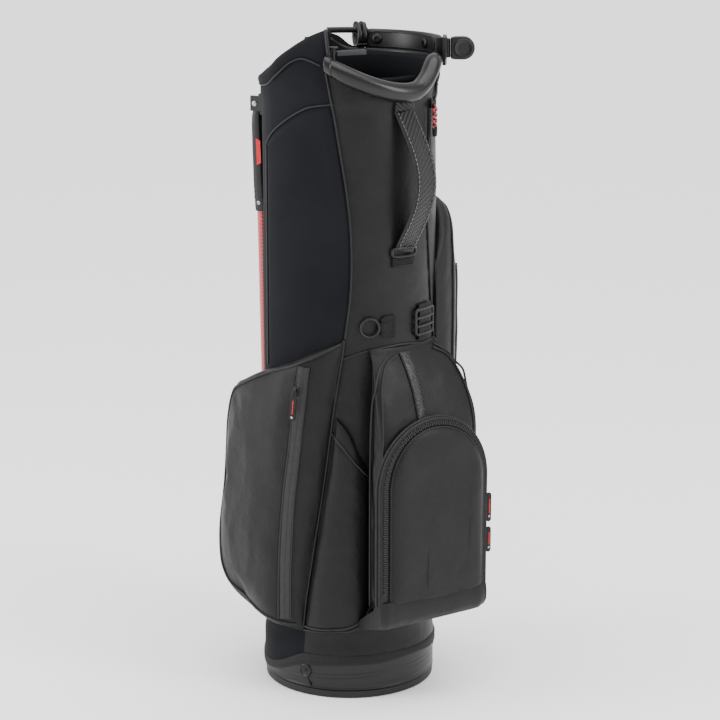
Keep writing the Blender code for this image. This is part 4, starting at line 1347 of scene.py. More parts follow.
def left_slider():
    low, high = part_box("left_zip_slider")
    centre = (low + high) / 2
    normal = Vector((-0.905, -0.425, 0))
    along = Vector((-0.0125, 0.0260, -0.3000)).normalized()
    across = along.cross(normal).normalized()
    outline = [(-0.0034, -0.0062), (0.0034, -0.0062), (0.0042, -0.0030), (0.0042, 0.0040), (0.0028, 0.0062),
               (-0.0028, 0.0062), (-0.0042, 0.0040), (-0.0042, -0.0030)]
    corners = [centre + across * a + along * b for a, b in outline]
    body = outline_block("slider_plate", corners, normal * -0.0016, normal * 0.0016, DARK_METAL,
                         bevel=0.0006)
    bridge_points = [centre + normal * h + along * a for a, h in
                     ((-0.0045, 0.0010), (-0.0035, 0.0030), (0.0, 0.0042), (0.0035, 0.0030),
                      (0.0045, 0.0010))]
    arch = tube("slider_arch", smooth_path(bridge_points, 5), 0.0010, DARK_METAL)
    piece(join_objects("zip_slider", [body, arch]), "left_zip_slider", "matte_black", ("left_zip_slider",))
    low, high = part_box("left_zip_pull")
    top = Vector((-0.1300, -0.0715, 0.4380)) + normal * 0.0030 + along * 0.0120 + normal * 0.0046
    loop = tube("pull_loop", smooth_path([top - across * 0.0026 + along * 0.007, top - across * 0.0024,
                                          top - along * 0.0022, top + across * 0.0024,
                                          top + across * 0.0026 + along * 0.007], 5), 0.0008, DARK_METAL)
    outline = []
    for angle in steps(180, 360, 14):
        a = math.radians(angle)
        outline.append((0.0044 * math.cos(a), 0.0082 + 0.0044 * math.sin(a) * 0.6))
    for angle in steps(0, 180, 14):
        a = math.radians(angle)
        outline.append((0.0044 * math.cos(a), 0.0346 + 0.0040 * math.sin(a)))
    corners = [top + across * a + along * b for a, b in outline]
    tab = outline_block("pull_tab", corners, normal * -0.0011, normal * 0.0011, RUBBER, bevel=0.0006)
    stripe = tube("pull_stripe",
                  [top + along * 0.0110 + normal * 0.0011, top + along * 0.0290 + normal * 0.0011], 0.0007,
                  RED_THREAD)
    rivet = lathe("pull_rivet", top + along * 0.0335 + normal * 0.0009, normal,
                  [(0, 0), (0, 0.0019), (0.0007, 0.0017), (0.0010, 0.0008), (0.0010, 0)], STEEL, sides=16)
    piece(join_objects("zip_pull", [loop, tab, stripe, rivet]), "left_zip_pull", "rubber",
          ("left_zip_pull",))


def patch_pocket():
    """Slip pocket with a slanted, bound mouth between the two big pockets."""
    section = [(-64.0, 0.1160), (-60.0, 0.1210), (-52.0, 0.1245), (-38.0, 0.1255), (-27.0, 0.1230),
               (-22.5, 0.1165)]
    mouth = [(-64, 0.385), (-44, 0.364), (-28, 0.324), (-20, 0.311)]

    def warp(psi, z):
        return -22.5 + (psi + 22.5) * (24.1 - seam_angle(z)) / (22.5 - 64.0)
    outline = [(polar(psi, r, 0).x, polar(psi, r, 0).y) for psi, r in section]
    walls = pocket_walls(outline, lambda psi: 0.095, lambda psi: follow(mouth, psi),
                         lambda v: swell(v, 6.0), warp, 48)
    pocket = stuffed("slip_pocket", walls, SHELL, cap=0.004, shrink=0.001,
                     wrinkle=pocket_wrinkle(0.0014, 6.0))
    piece(pocket, "bag", "shell_fabric", ("patch_pocket",))
    tree = surface_of(pocket)
    top = [(-64, 0.385), (-44, 0.364), (-28, 0.324), (-20, 0.311)]
    route = []
    for psi in steps(-47.0, -23.5, 30):
        route.append((psi, follow(top, psi) - 0.005 - 0.003 * smoothstep(-30, -23, psi)))
    points = [lay_radial(tree, psi, z, 0.0008)[0] for psi, z in route]
    cord("slip_pocket_mouth", relaxed(points), 0.0016)
    route = [(psi, z - 0.007) for psi, z in route]
    laid = [lay_radial(tree, psi, z, 0.0006) for psi, z in route]
    stitches("slip_mouth_stitch", [p for p, n in laid], [n for p, n in laid])
    for number, lift in enumerate((0.0, 0.0052)):
        outline = [(-66.5, 0.096 - lift), (-58, 0.0965 - lift), (-46, 0.0985 - lift), (-34, 0.1035 - lift),
                   (-26, 0.1140 - lift), (-21.0 + lift * 300, 0.1300), (-19.5 + lift * 300, 0.1500)]
        route = curve(outline, 8)
        points = [lay_radial(tree, psi, z, 0.0010, BODY_R + 0.002)[0] for psi, z in route]
        cord(f"slip_low_cord_{number}", relaxed(points, 3), 0.0015)


# Arch-topped lid of the ball pocket
LID_LEFT, LID_RIGHT = -0.0700, 0.1050
LID_LOW, LID_SPRING, LID_CROWN = 0.150, 0.300, 0.389


def arch(inset, count=48):
    """Outline of the lid moved inwards by inset, from lower left over the top to lower right."""
    middle = (LID_LEFT + LID_RIGHT) / 2
    half = (LID_RIGHT - LID_LEFT) / 2
    left = half - inset
    right = half - inset * 0.45
    rise = LID_CROWN - LID_SPRING - inset * 0.7
    low = LID_LOW + min(inset, 0.001)
    points = [(middle - left, z) for z in steps(low, LID_SPRING, 22)[:-1]]
    for angle in steps(180, 0, count):
        a = math.radians(angle)
        side = left if angle > 90 else right
        points.append((middle + side * math.cos(a), LID_SPRING + rise * math.sin(a)))
    points += [(middle + right, z) for z in steps(LID_SPRING, low, 22)[1:]]
    return points


def lid_loop(inset):
    """The lid's whole outline, with the slack hem along its bottom."""
    points = arch(inset)
    right, low = points[-1]
    left = points[0][0]
    for x in steps(right, left, 36)[1:-1]:
        slack = 0.0022 * math.sin((x - left) * 95.0) * smoothstep(0, 0.02, min(x - left, right - x))
        points.append((x, low - 0.0015 + slack))
    return points


def ball_pocket():
    outline = [(-0.0385, -0.1080), (-0.0500, -0.1240), (-0.0590, -0.1400), (-0.0580, -0.1530),
               (-0.0400, -0.1580), (0.0150, -0.1580), (0.0740, -0.1580), (0.0970, -0.1530),
               (0.1050, -0.1400), (0.0980, -0.1160), (0.0690, -0.0940)]

    def fullness(v):
        if v < 0.62:
            return swell(min(v / 0.62 * 0.5 + 0.02, 1.0), 8.0)
        return max(1 - ((v - 0.62) / 0.38) ** 2.0, 0.0) ** 0.75
    walls = pocket_walls(outline, lambda psi: 0.128, lambda psi: 0.476, fullness)
    dome = stuffed("ball_pocket_dome", walls, SHELL, cap=0.005, shrink=0.0025,
                   wrinkle=pocket_wrinkle(0.0015, 11.0))
    piece(dome, "bag", "shell_fabric", ("ball_pocket",))
    layers = [(-0.1560, 0.0010), (-0.1600, 0.0), (-0.1630, 0.0), (-0.1652, 0.0012), (-0.1660, 0.0032),
              (-0.1660, 0.0160), (-0.1652, 0.0172), (-0.1660, 0.0182), (-0.1684, 0.0200), (-0.1700, 0.0235),
              (-0.1708, 0.0290), (-0.1714, 0.0380), (-0.1718, 0.0500), (-0.1720, 0.0620), (-0.1720, 0.0740)]
    loops = []
    for y, inset in layers:
        loop = []
        for x, z in lid_loop(inset):
            place = Vector((x, y, z))
            inner = smoothstep(0.017, 0.04, inset)
            fold = ridged(place, 17.0, (1.0, 1.0, 0.5), 9.0) * 0.0016 + soft_noise(place, 20.0,
                                                                                   4.0) * 0.0013
            sag = 0.0012 * math.sin((z - LID_LOW) / 0.23 * math.pi)
            loop.append(place + Vector((0, -(fold + sag) * inner, 0)))
        loops.append(loop)
    lid = loft("ball_lid", loops, SHELL, sharp=60)
    piece(lid, "bag", "shell_fabric", ("ball_pocket_lid",))
    front = Vector((0, -1, 0))
    count = len(arch(0.0))
    for name, inset, y, radius in (("lid_outer_cord", -0.0008, -0.1610, 0.0017),
                                   ("lid_second_cord", 0.0014, -0.1648, 0.0013),
                                   ("lid_inner_cord", 0.0181, -0.1668, 0.0014)):
        points = [Vector((x, y, z)) for x, z in arch(inset)]
        cord(name, points, radius)
    points = [Vector((x, -0.1660, z)) for x, z in arch(0.0098)][2:-2]
    piece(zip_teeth("lid_zip_teeth", points, [front] * count, MATT_PLASTIC, pitch=0.0030, width=0.0078),
          "bag", "matte_black")
    for name, inset in (("lid_stitch_outer", 0.0035), ("lid_stitch_inner", 0.0228)):
        y = -0.1660 if inset < 0.01 else -0.1702
        points = [Vector((x, y, z)) for x, z in arch(inset)]
        stitches(name, points, [front] * count)
    skirt()
    tree = surface_of(dome)
    ball_trim(tree)


def skirt():
    """Fabric apron that folds from the lid's bottom edge back to the tube."""
    loops = []
    for t in steps(0.0, 1.0, 60):
        front = -0.0690 + t * 0.1735
        back = -0.0600 + t * 0.1500
        hem = -math.sqrt(BODY_R ** 2 - back ** 2) - 0.0012
        edge = smoothstep(0.0, 0.08, min(t, 1 - t))
        wave = soft_noise(Vector((front, 0, 0)), 45.0, 2.0) * 0.0014
        fold = soft_noise(Vector((front, 0, 0)), 28.0, 7.0) * 0.0024
        drop = 0.0030 * edge
        tuck = 0.0030 * (1 - edge)
        middle = (front + back) / 2
        profile = [(front, -0.1590, 0.1530), (front, -0.1685 + tuck, 0.1530),
                   (front, -0.1702 - wave + tuck, 0.1470), (front, -0.1716 - wave + tuck, 0.1370),
                   (front, -0.1706 - wave + tuck, 0.1270 - drop * 0.5),
                   (front, -0.1668 + tuck, 0.1200 - drop),
                   (front * 0.96 + back * 0.04, -0.1600, 0.1165 - drop),
                   (middle, (hem - 0.1600) / 2, 0.1065 + fold), (back, hem, 0.0985),
                   (back, hem + 0.0008, 0.1020), (middle, (hem - 0.1600) / 2 + 0.001, 0.1250),
                   (front * 0.97, -0.1500, 0.1400)]
        loops.append([Vector(corner) for corner in profile])
    band = loft("ball_pocket_band", loops, SHELL, sharp=60)
    piece(band, "bag", "shell_fabric", ("ball_pocket_skirt",))
    route = [(-46, 0.4575), (-38, 0.4645), (-19.8, 0.4746), (2.7, 0.4780), (20, 0.4735), (38.9, 0.4615),
             (47, 0.4560)]
    points = [polar(psi, BODY_R + 0.0014, follow(route, psi)) for psi in steps(-42.5, 46, 70)]
    cord("front_seam_cord", points, 0.0016)


def ball_trim(tree):
    """Double cords up both edges of the ball pocket and the embossed strip over its crown."""
    for name, sign, shift in (("ball_cord_left", -1, 0.0), ("ball_cord_left_b", -1, 0.0065),
                              ("ball_cord_right", 1, 0.0), ("ball_cord_right_b", 1, 0.0065)):
        middle = 0.020
        outline = [(0.0790 - shift, 0.140), (0.0790 - shift, 0.300), (0.0775 - shift, 0.390),
                   (0.0720 - shift, 0.430), (0.0600 - shift, 0.455), (0.0400 - shift, 0.4690 - shift * 0.4)]
        route = smooth_path([Vector((middle + sign * a, b, 0)) for a, b in outline], 10)
        points = [lay_front(tree, p.x, p.y, 0.0009, -0.13)[0] for p in route]
        cord(name, relaxed(points, 4), 0.0015)
    rows = [lay_front(tree, 0.002 + 0.004 * smoothstep(0.47, 0.40, z), z, 0.0012,
                      -0.13) for z in steps(0.468, 0.386, 30)]
    strip = ribbon("embossed_strip", *along(rows),
                   lambda t: 0.0170 - 0.004 * t, 0.0022, embossed(), puff=0.0004)
    piece(strip, "bag", "shell_fabric")
    for side in (-1, 1):
        line = [lay_front(tree, 0.002 + 0.004 * smoothstep(0.47, 0.40, z) + side * (0.0072 - 0.0015 * t),
                          z, 0.0024, -0.13)
                for t, z in zip(steps(0, 1, 30), steps(0.466, 0.388, 30))]
        piece(dashes(f"strip_stitch_{side + 1}", *along(line), THREAD),
              "bag", "shell_fabric")


def embossed():
    """Coated strip with a generic pebbled emboss."""
    surface = Surface("embossed_strip", (0.0060, 0.0060, 0.0065), 0.40, specular=0.35)
    place = surface.object_place()
    cells = surface.node("ShaderNodeTexVoronoi")
    cells.inputs["Scale"].default_value = 330.0
    surface.link(place, cells.inputs["Vector"])
    surface.bump(cells.outputs["Distance"], 0.55, 0.0007)
    surface.vary_colour(surface.noise(place, 140.0, 2.0, 0.5), 0.3)
    return surface.mat


def long_pocket():
    """Long pocket on the right with a corded front edge and a zip behind it."""
    outline = [(0.0790, -0.0885), (0.1000, -0.0860), (0.1270, -0.0700), (0.1430, -0.0380), (0.1500, 0.0000),
               (0.1500, 0.0350), (0.1400, 0.0650), (0.1220, 0.0740), (0.1020, 0.0600)]
    top = [(40, 0.560), (55, 0.620), (75, 0.648), (105, 0.650), (120, 0.640)]
    walls = pocket_walls(outline, lambda psi: 0.090, lambda psi: follow(top, psi), lambda v: swell(v, 4.0))
    pocket = stuffed("long_pocket", walls, SHELL, cap=0.006, shrink=0.0020,
                     wrinkle=pocket_wrinkle(0.0016, 21.0))
    piece(pocket, "bag", "shell_fabric", ("right_pocket",))
    tree = surface_of(pocket)
    for name, psi in (("long_pocket_cord_front", 55), ("long_pocket_cord_back", 117)):
        outline = [(psi, 0.110), (psi, 0.300), (psi, 0.500), (psi + (4 if psi < 90 else -3), 0.590)]
        outline.append((psi + (14 if psi < 90 else -10), 0.630))
        outline.append((psi + (28 if psi < 90 else -22), 0.640))
        route = smooth_path([Vector((a, b, 0)) for a, b in outline], 12)
        points = [lay_radial(tree, p.x, p.y, 0.0007)[0] for p in route]
        cord(name, relaxed(points, 3), 0.0017)
    heights = steps(0.130, 0.560, 90)
    rows = [lay_radial(tree, 66, z, 0.0007) for z in heights]
    piece(ribbon("long_zip_tape", *along(rows), 0.0125, 0.0014, TAPE), "bag",
          "shell_fabric")
    rows = [lay_radial(tree, 66, z, 0.0014) for z in heights]
    piece(zip_teeth("long_zip_teeth", *along(rows), MATT_PLASTIC), "bag",
          "matte_black")


def right_pulls():
    """Pull tabs at the ball pocket's right edge, and the braided pull near the rim."""
    for name, node, body in (("ball_pull_upper", "ball_zip_pull_upper", "ball_zip_upper"),
                             ("ball_pull_lower", "ball_zip_pull_lower", "ball_zip_lower")):
        low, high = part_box(node)
        centre = (low + high) / 2
        half_w = (high.x - low.x) / 2
        half_h = (high.z - low.z) / 2
        outline = []
        for angle in steps(0, 180, 12):
            a = math.radians(angle)
            outline.append((half_w * math.cos(a), half_h - half_w + half_w * math.sin(a)))
        for angle in steps(180, 360, 12):
            a = math.radians(angle)
            outline.append((half_w * math.cos(a), -half_h + half_w + half_w * math.sin(a)))
        corners = [centre + Vector((a, 0, b)) for a, b in outline]
        tab = outline_block(name + "_tab", corners, (0, -0.0014, 0), (0, 0.0014, 0), RUBBER, bevel=0.0007)
        stripe = tube(name + "_stripe", [centre + Vector((0, -0.0015, half_h * 0.55)),
                                         centre + Vector((0, -0.0015, -half_h * 0.4))], 0.0008, RED_THREAD)
        rivet = lathe(name + "_rivet", centre + Vector((0, -0.0012, -half_h * 0.62)), (0, -1, 0),
                      [(0, 0), (0, 0.0018), (0.0006, 0.0016), (0.0009, 0)], STEEL, sides=14)
        piece(join_objects(name, [tab, stripe, rivet]), body, "rubber", (node,))
    low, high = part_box("right_zip_slider")
    centre = (low + high) / 2
    corners = [Vector((x, low.y, z)) for x,
               z in ((low.x, low.z), (high.x, low.z), (high.x, high.z), (low.x, high.z))]
    slider = outline_block("right_slider_body", corners, (0, 0, 0), (0, high.y - low.y, 0), DARK_METAL,
                           bevel=0.0009)
    piece(slider, "right_zip_slider", "matte_black", ("right_zip_slider",))
    low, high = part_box("right_zip_pull")
    centre = (low + high) / 2
    strands = []
    for number in (0, 1):
        points = []
        for t in steps(0, 1, 26):
            turn = 2 * math.pi * 2.2 * t + math.pi * number
            reach = 0.0020 * math.sin(math.pi * min(t * 6, 1.0) * 0.5)
            points.append(Vector((centre.x + reach * math.cos(turn),
                                  centre.y + reach * 0.7 * math.sin(turn),
                                  high.z - 0.0010 - (high.z - low.z - 0.010) * t)))
        strands.append(tube(f"braid_strand_{number}", points, 0.0016, BRAID))
    end = lathe("braid_end", Vector((centre.x, centre.y, low.z + 0.0120)), (0, 0, -1),
                [(0, 0), (0, 0.0026), (0.0010, 0.0034), (0.0110, 0.0030), (0.0120, 0.0020), (0.0120, 0)],
                RUBBER, sides=16)
    piece(join_objects("braided_pull", strands + [end]), "right_zip_pull", "accent_red",
          ("right_zip_pull",))
    heights = steps(0.668, 0.7895, 36)
    normals = [polar(30, 1, 0)] * len(heights)
    route = [polar(30, BODY_R + 0.0010 + 0.0016 * smoothstep(0.780, 0.790, z), z) for z in heights]
    piece(ribbon("upper_zip_tape", route, normals, 0.0090, 0.0014, PIPING), "bag", "shell_fabric")
    route = [polar(30, BODY_R + 0.0017 + 0.0016 * smoothstep(0.780, 0.790, z), z) for z in heights]
    piece(zip_teeth("upper_zip_teeth", route, normals, MATT_PLASTIC, width=0.0048), "bag", "matte_black")


large_pocket()
left_slider()
patch_pocket()
ball_pocket()
long_pocket()
right_pulls()


# ------------------------------------------------------------------ handle, straps and rings

def handle_point(t, lift=0.0):
    bow = math.sin(math.pi * t)
    z = 0.779 - 0.1780 * t
    return Vector((0.004 + 0.012 * bow, -(BODY_R + 0.0035 + lift + 0.030 * bow ** 1.2), z))


def carry_handle():
    """Twill-faced strap with bound, stitched edges, sewn under the lip and into a low loop."""
    count = 60
    points = [handle_point(t) for t in steps(0, 1, count)]
    normals = []
    for i in range(count + 1):
        before = points[max(i - 1, 0)]
        after = points[min(i + 1, count)]
        normals.append((after - before).cross(Vector((1, 0, 0))).normalized() * 1.0)
    if normals[0].y > 0:
        normals = [-n for n in normals]
    strap = ribbon("handle_strap", points, normals, 0.0285, 0.0042, TWILL, puff=0.0005)
    piece(strap, "bag", "webbing", ("carry_handle",))
    for name, side in (("handle_edge_left", -1), ("handle_edge_right", 1)):
        edge = [p + Vector((side * 0.0140, 0, 0)) for p in points]
        cord(name, edge, 0.0017, "webbing")
        row = [p + Vector((side * 0.0122, 0, 0)) + n * 0.0026 for p, n in zip(points, normals)]
        piece(dashes(name + "_stitch", row, normals, PALE_THREAD, length=0.0040, gap=0.0056, width=0.0014),
              "bag", "webbing")
    # Low loop that the strap passes through, and its sewn base
    centre = Vector((0.004, -BODY_R - 0.0042, 0.5990))
    loop = [centre + Vector((a, b, c)) for a, b, c in
            ((-0.0175, 0.0010, -0.0030), (-0.0175, 0.0, 0.0046), (-0.0120, -0.0030, 0.0062),
             (0.0, -0.0040, 0.0064), (0.0120, -0.0030, 0.0062), (0.0175, 0.0, 0.0046),
             (0.0175, 0.0010, -0.0030), (0.0100, 0.0, -0.0052), (-0.0100, 0.0, -0.0052))]
    piece(tube("handle_ring", smooth_path(loop, 5, closed=True), 0.0019, DARK_METAL, closed=True), "bag",
          "matte_black")
    low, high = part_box("handle_anchor_low")
    points = [polar(psi, BODY_R + 0.0026, (low.z + high.z) / 2) for psi in steps(-6.6, 10.2, 18)]
    normals = outward(points)
    base = ribbon("handle_base", points, normals, 0.0128, 0.0034, WEBBING)
    piece(base, "bag", "webbing", ("handle_anchor_low",))
    for number, dz in enumerate((-0.0042, -0.0014, 0.0014, 0.0042)):
        row = [p + n * 0.0021 + Vector((0, 0, dz)) for p, n in zip(points, normals)]
        piece(dashes(f"handle_bartack_{number}", row, normals, THREAD, length=0.0022, gap=0.0028), "bag",
              "webbing")
    top_points = [polar(psi, BODY_R + 0.0030, 0.7860) for psi in steps(-5.5, 9.5, 14)]
    normals = outward(top_points)
    piece(ribbon("handle_top_patch", top_points, normals, 0.0130, 0.0044, TWILL), "bag", "webbing")


def ring_and_buckle():
    psi = -22
    centre = polar(psi, BODY_R + 0.0050, 0.5040)
    across = polar(psi + 90, 1.0, 0)
    points = [centre + across * 0.0120 * math.cos(a) + Vector((0, 0, 0.0120 * math.sin(a)))
              for a in turns(48)]
    piece(tube("round_ring", points, 0.0018, DARK_METAL, sides=12, closed=True), "d_ring", "matte_black",
          ("d_ring",))
    points = [polar(a, BODY_R + 0.0024 + 0.0014 * smoothstep(-9, -14, a), 0.5040) for a in steps(-14.6,
                                                                                                 -4.6, 16)]
    normals = outward(points)
    tab = ribbon("ring_tab", points, normals, lambda t: 0.0230 + 0.0060 * smoothstep(0.0, 0.35, t), 0.0034,
                 WEBBING)
    piece(tab, "bag", "webbing", ("d_ring_tab",))
    for number, angle in enumerate((-11.2, -5.8)):
        row = [polar(angle, BODY_R + 0.0046, z) for z in steps(0.493, 0.515, 12)]
        stitches(f"tab_stitch_{number}", row, [polar(angle, 1, 0)] * 13, "webbing")
    keeper = [polar(a, BODY_R + 0.0050 + 0.0016 * math.sin(math.pi * (a + 15.5) / 4.0),
                    0.5040) for a in steps(-15.5, -11.5, 8)]
    normals = outward(keeper)
    piece(ribbon("ring_keeper", keeper, normals, 0.0120, 0.0016, WEBBING), "bag", "webbing")
    buckle()


def buckle():
    """Ladder buckle: a rounded frame, two bars and the webbing threaded through them."""
    parts = []
    corner = [(12.4, 0.4865), (33.6, 0.4865), (33.6, 0.5195), (12.4, 0.5195)]
    loop = []
    for (a0, z0), (a1, z1) in zip(corner, corner[1:] + corner[:1]):
        for t in steps(0.08, 0.92, 8):
            loop.append(polar(a0 + (a1 - a0) * t, BODY_R + 0.0040, z0 + (z1 - z0) * t))
    parts.append(tube("buckle_frame", loop, 0.0022, MATT_PLASTIC, sides=10, closed=True))
    for number, z in enumerate((0.4975, 0.5085)):
        bar = [polar(a, BODY_R + 0.0046, z) for a in steps(13, 33, 14)]
        parts.append(tube(f"buckle_bar_{number}", bar, 0.0018, MATT_PLASTIC, sides=10))
    piece(join_objects("ladder_buckle", parts), "bag", "matte_black", ("strap_buckle",))
    for name, z0, z1, lift in (("buckle_web_upper", 0.5000, 0.5260, 0.0022),
                               ("buckle_web_lower", 0.4780, 0.5000, 0.0016)):
        count = 12
        points = [polar(23, BODY_R + lift + 0.0016 * math.sin(math.pi * i / count),
                        z0 + (z1 - z0) * i / count)
                  for i in range(count + 1)]
        normals = [polar(23, 1, 0)] * (count + 1)
        piece(ribbon(name, points, normals, 0.0300, 0.0018, WEBBING), "bag", "webbing")
    row = [polar(a, BODY_R + 0.0036, 0.5236) for a in steps(16.5, 29.5, 12)]
    piece(dashes("buckle_bartack", row, outward(row), THREAD,
                 gap=0.0028), "bag",
          "webbing")


# ------------------------------------------------------------------ legs

LEG_HINGE = (0.0674, 0.1113, 0.7720)
LEG_FOOT = (0.0423, 0.1290, 0.0380)
LEG_AXIS = (0.89, 0.45)


def leg_hinge(side):
    """Place and direction of a leg's hinge pin."""
    hinge = Vector((LEG_HINGE[0] * side, LEG_HINGE[1], LEG_HINGE[2]))
    return hinge, Vector((LEG_AXIS[0], -side * LEG_AXIS[1], 0)).normalized()


def leg(side, label):
    hinge, axis = leg_hinge(side)
    foot = Vector((LEG_FOOT[0] * side, LEG_FOOT[1], LEG_FOOT[2]))
    down = (foot - hinge).normalized()
    out = axis.cross(down).normalized()
    if out.y < 0:
        out = -out
    body = f"leg_{label}"
    # Upper moulding: swells below the hinge, then runs straight to the clamp
    profile = [(-0.0062, 0.0030, 0.0030, 0.0), (-0.0050, 0.0070, 0.0070, 0.0),
               (0.0, 0.0088, 0.0092, 0.0004), (0.0080, 0.0118, 0.0112, 0.0018),
               (0.0180, 0.0142, 0.0132, 0.0028), (0.0300, 0.0150, 0.0140, 0.0030),
               (0.0600, 0.0150, 0.0146, 0.0026), (0.0900, 0.0148, 0.0150, 0.0020),
               (0.1060, 0.0154, 0.0154, 0.0016), (0.1100, 0.0158, 0.0158, 0.0012),
               (0.1425, 0.0152, 0.0152, 0.0), (0.1455, 0.0140, 0.0140, 0.0), (0.1460, 0.0120, 0.0120, 0.0)]
    loops = []
    for distance, width, depth, shift in profile:
        centre = hinge + down * distance + out * shift
        ring = []
        for a in turns(24):
            c, s = squared(a)
            ring.append(centre + axis * c * width / 2 + out * s * depth / 2)
        loops.append(ring)
    moulding = loft(f"leg_sleeve_{label}", loops, PLASTIC, sharp=40)
    parts = [moulding]
    for number, distance in enumerate((0.1130, 0.1200, 0.1270)):
        centre = hinge + down * distance + out * 0.0010
        ring = []
        for a in turns(28):
            c, s = squared(a)
            ring.append(centre + axis * c * 0.0078 + out * s * 0.0078)
        parts.append(tube(f"sleeve_band_{label}_{number}", ring, 0.0007, PLASTIC, sides=6, closed=True))
    for way in (-1, 1):
        screw_at = hinge + down * 0.1340 + axis * 0.0074 * way
        parts.append(lathe(f"sleeve_screw_{label}_{way + 1}", screw_at, axis * way,
                           [(0, 0), (0, 0.0028), (0.0009, 0.0026), (0.0012, 0.0014), (0.0006, 0.0010),
                            (0.0006, 0)],
                           STEEL, sides=16))
        window = [hinge + down * d + axis * 0.0073 * way + out * w for d, w in
                  ((0.050, -0.0045), (0.047, 0.0020), (0.083, 0.0016), (0.080, -0.0050))]
        parts.append(outline_block(f"sleeve_window_{label}_{way + 1}", window, (0, 0, 0),
                                   axis * 0.0006 * way, RED_THREAD, bevel=0))
    piece(join_objects(f"leg_moulding_{label}", parts), body, "moulded_black", (f"leg_upper_{label}",))
    start = hinge + down * 0.1450
    end = foot + Vector((0, 0, 0.0004)) - down * 0.0250
    points = [start.lerp(end, t) for t in steps(0, 1, 40)]
    piece(tube(f"leg_carbon_{label}", points, 0.0062, CARBON, sides=28), body, "carbon_red",
          (f"leg_tube_{label}",))
    base = foot - down * 0.0246
    foot_profile = [(-0.0060, 0.0), (-0.0060, 0.0068), (0.0, 0.0074), (0.0030, 0.0078), (0.0036, 0.0072),
                    (0.0056, 0.0072), (0.0062, 0.0080), (0.0092, 0.0082), (0.0098, 0.0075),
                    (0.0118, 0.0075), (0.0124, 0.0083), (0.0160, 0.0084), (0.0210, 0.0080),
                    (0.0250, 0.0070), (0.0290, 0.0048), (0.0302, 0.0020), (0.0304, 0.0)]
    piece(lathe(f"leg_tip_{label}", base, down, foot_profile, RUBBER, sides=28), body, "rubber",
          (f"leg_foot_{label}",))


def bracket_details():
    for side, label in ((-1, "left"), (1, "right")):
        hinge, axis = leg_hinge(side)
        for way in (-1, 1):
            head = lathe(f"bracket_pin_head_{label}_{way + 1}", hinge + axis * 0.0126 * way, axis * way,
                         [(0, 0), (0, 0.0036), (0.0008, 0.0036), (0.0014, 0.0028), (0.0016, 0.0012),
                          (0.0016, 0)],
                         STEEL, sides=20)
            piece(head, "bag", "steel")


# ------------------------------------------------------------------ base

def heel_line(psi, lift=0.0):
    y = -0.1130 * math.cos(math.radians(psi))
    return 0.0114 + lift + max(y - 0.052, 0.0) * math.tan(math.radians(25))


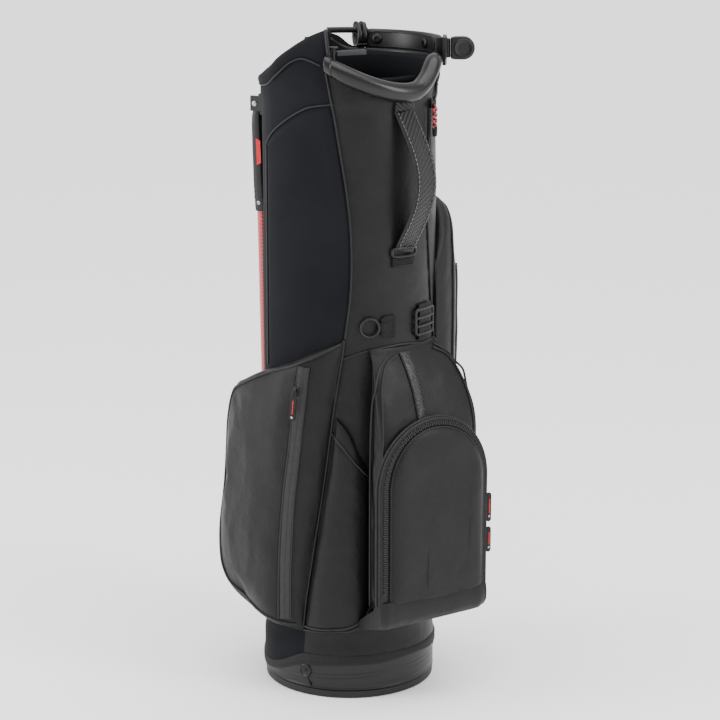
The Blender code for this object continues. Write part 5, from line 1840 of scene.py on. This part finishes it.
def boot():
    """Moulded boot skin with a stepped rim, contour grooves and ribbed bosses."""
    def outer(psi, z, u, v):
        height = z
        contour = 0.0
        for start, rise in ((0.0300, 0.35), (0.0355, 0.35)):
            line = start + rise * 0.010 * math.sin(math.radians(psi * 1.6 + 40))
            contour -= 0.0007 * math.exp(-((height - line) / 0.0011) ** 2)
        step = 0.0007 * smoothstep(0.0180, 0.0195, height)
        flare = 0.0010 * smoothstep(0.0150, 0.0115, height)
        return 0.1136 + step + contour + flare
    skin = shell("boot_skin", -180, 179.9, lambda psi: heel_line(psi), lambda psi: rim_top(psi) - 0.003,
                 outer, 0.0004, PLASTIC, columns=180, rows=44)
    piece(skin, "bag", "moulded_black")
    # Stitched rim with a wavy lower edge
    def rim_low(psi):
        broad = 0.0022 * math.sin(math.radians(psi * 3 + 70))
        small = 0.0008 * math.sin(math.radians(psi * 7))
        return rim_top(psi) - 0.0127 + broad + small
    loops = []
    for psi in steps(-180, 178, 179):
        low = rim_low(psi)
        top = rim_top(psi)
        loops.append([polar(psi, 0.1135, low), polar(psi, 0.1158, low - 0.0002),
                      polar(psi, 0.1166, low + 0.0012), polar(psi, 0.1166, top - 0.0015),
                      polar(psi, 0.1156, top), polar(psi, 0.1135, top + 0.0003)])
    made = loft("boot_rim", loops, RUBBER, closed=True)
    piece(made, "bag", "moulded_black", ("boot_trim_band",))
    for number, shift in enumerate((0.0034, None)):
        points = []
        for psi in steps(-180, 178, 179):
            z = rim_low(psi) + shift if shift else rim_top(psi) - 0.0033
            points.append(polar(psi, 0.1168, z))
        normals = outward(points)
        stitches(f"rim_stitch_{number}", points, normals, "moulded_black")
    for name, psi, node in (("boss_left", -66, "boot_boss_left"), ("boss_right", 66, "boot_boss_right")):
        base = polar(psi, 0.1136, 0.0340)
        out = polar(psi, 1, 0)
        boss = lathe(name + "_disc", base, out,
                     [(0, 0), (0, 0.0098), (0.0014, 0.0096), (0.0026, 0.0088), (0.0032, 0.0076),
                                                 (0.0026, 0.0064), (0.0016, 0.0056), (0.0014, 0.0030),
                                                 (0.0018, 0.0)],
                     PLASTIC, sides=36)
        rib = tube(name + "_rib", [polar(psi + 1.0, 0.1142, 0.0270), polar(psi + 2.6, 0.1144, 0.0200),
                                   polar(psi + 4.0, 0.1146, 0.0135)], 0.0018, PLASTIC)
        screw = lathe(name + "_screw", base + out * 0.0014, out,
                      [(0, 0), (0, 0.0030), (0.0010, 0.0028), (0.0013, 0.0012),
                                                                  (0.0007, 0.0010), (0.0007,
                                                                                     0)], DARK_METAL, sides=18)
        piece(join_objects(name, [boss, rib, screw]), "bag", "moulded_black", (node,))


def foot_ring():
    profile = [(0.1080, 0.0004), (0.1128, 0.0004), (0.1136, 0.0012), (0.1137, 0.0060), (0.1133, 0.0095),
               (0.1122, 0.0103), (0.1085, 0.0103)]
    loops = [[polar(psi, r, z) for r, z in profile] for psi in steps(-180, 178, 179)]
    piece(loft("foot_skin", loops, MATT_PLASTIC, closed=True), "foot", "moulded_black")


def carried_over():
    """Better materials on the CAD nodes that stay in view."""
    wear = {
        "base_foot": MATT_PLASTIC, "base_boot": PLASTIC, "tilt_pin": STEEL, "stay_left": DARK_METAL,
        "stay_right": DARK_METAL, "divider_cross": LINING, "divider_front": LINING, "divider_rear": LINING,
        "leg_bracket_left": PLASTIC, "leg_bracket_right": PLASTIC, "leg_pin_left": STEEL,
        "leg_pin_right": STEEL, "actuator_rod": DARK_METAL, "actuator_yoke": PLASTIC, "rod_guide": PLASTIC,
    }
    for node, mat in wear.items():
        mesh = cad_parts[node].data
        mesh.materials.clear()
        mesh.materials.append(mat)
        mesh.shade_smooth()
        mesh.set_sharp_from_angle(angle=math.radians(35))


carry_handle()
ring_and_buckle()
leg(-1, "left")
leg(1, "right")
bracket_details()
boot()
foot_ring()
carried_over()
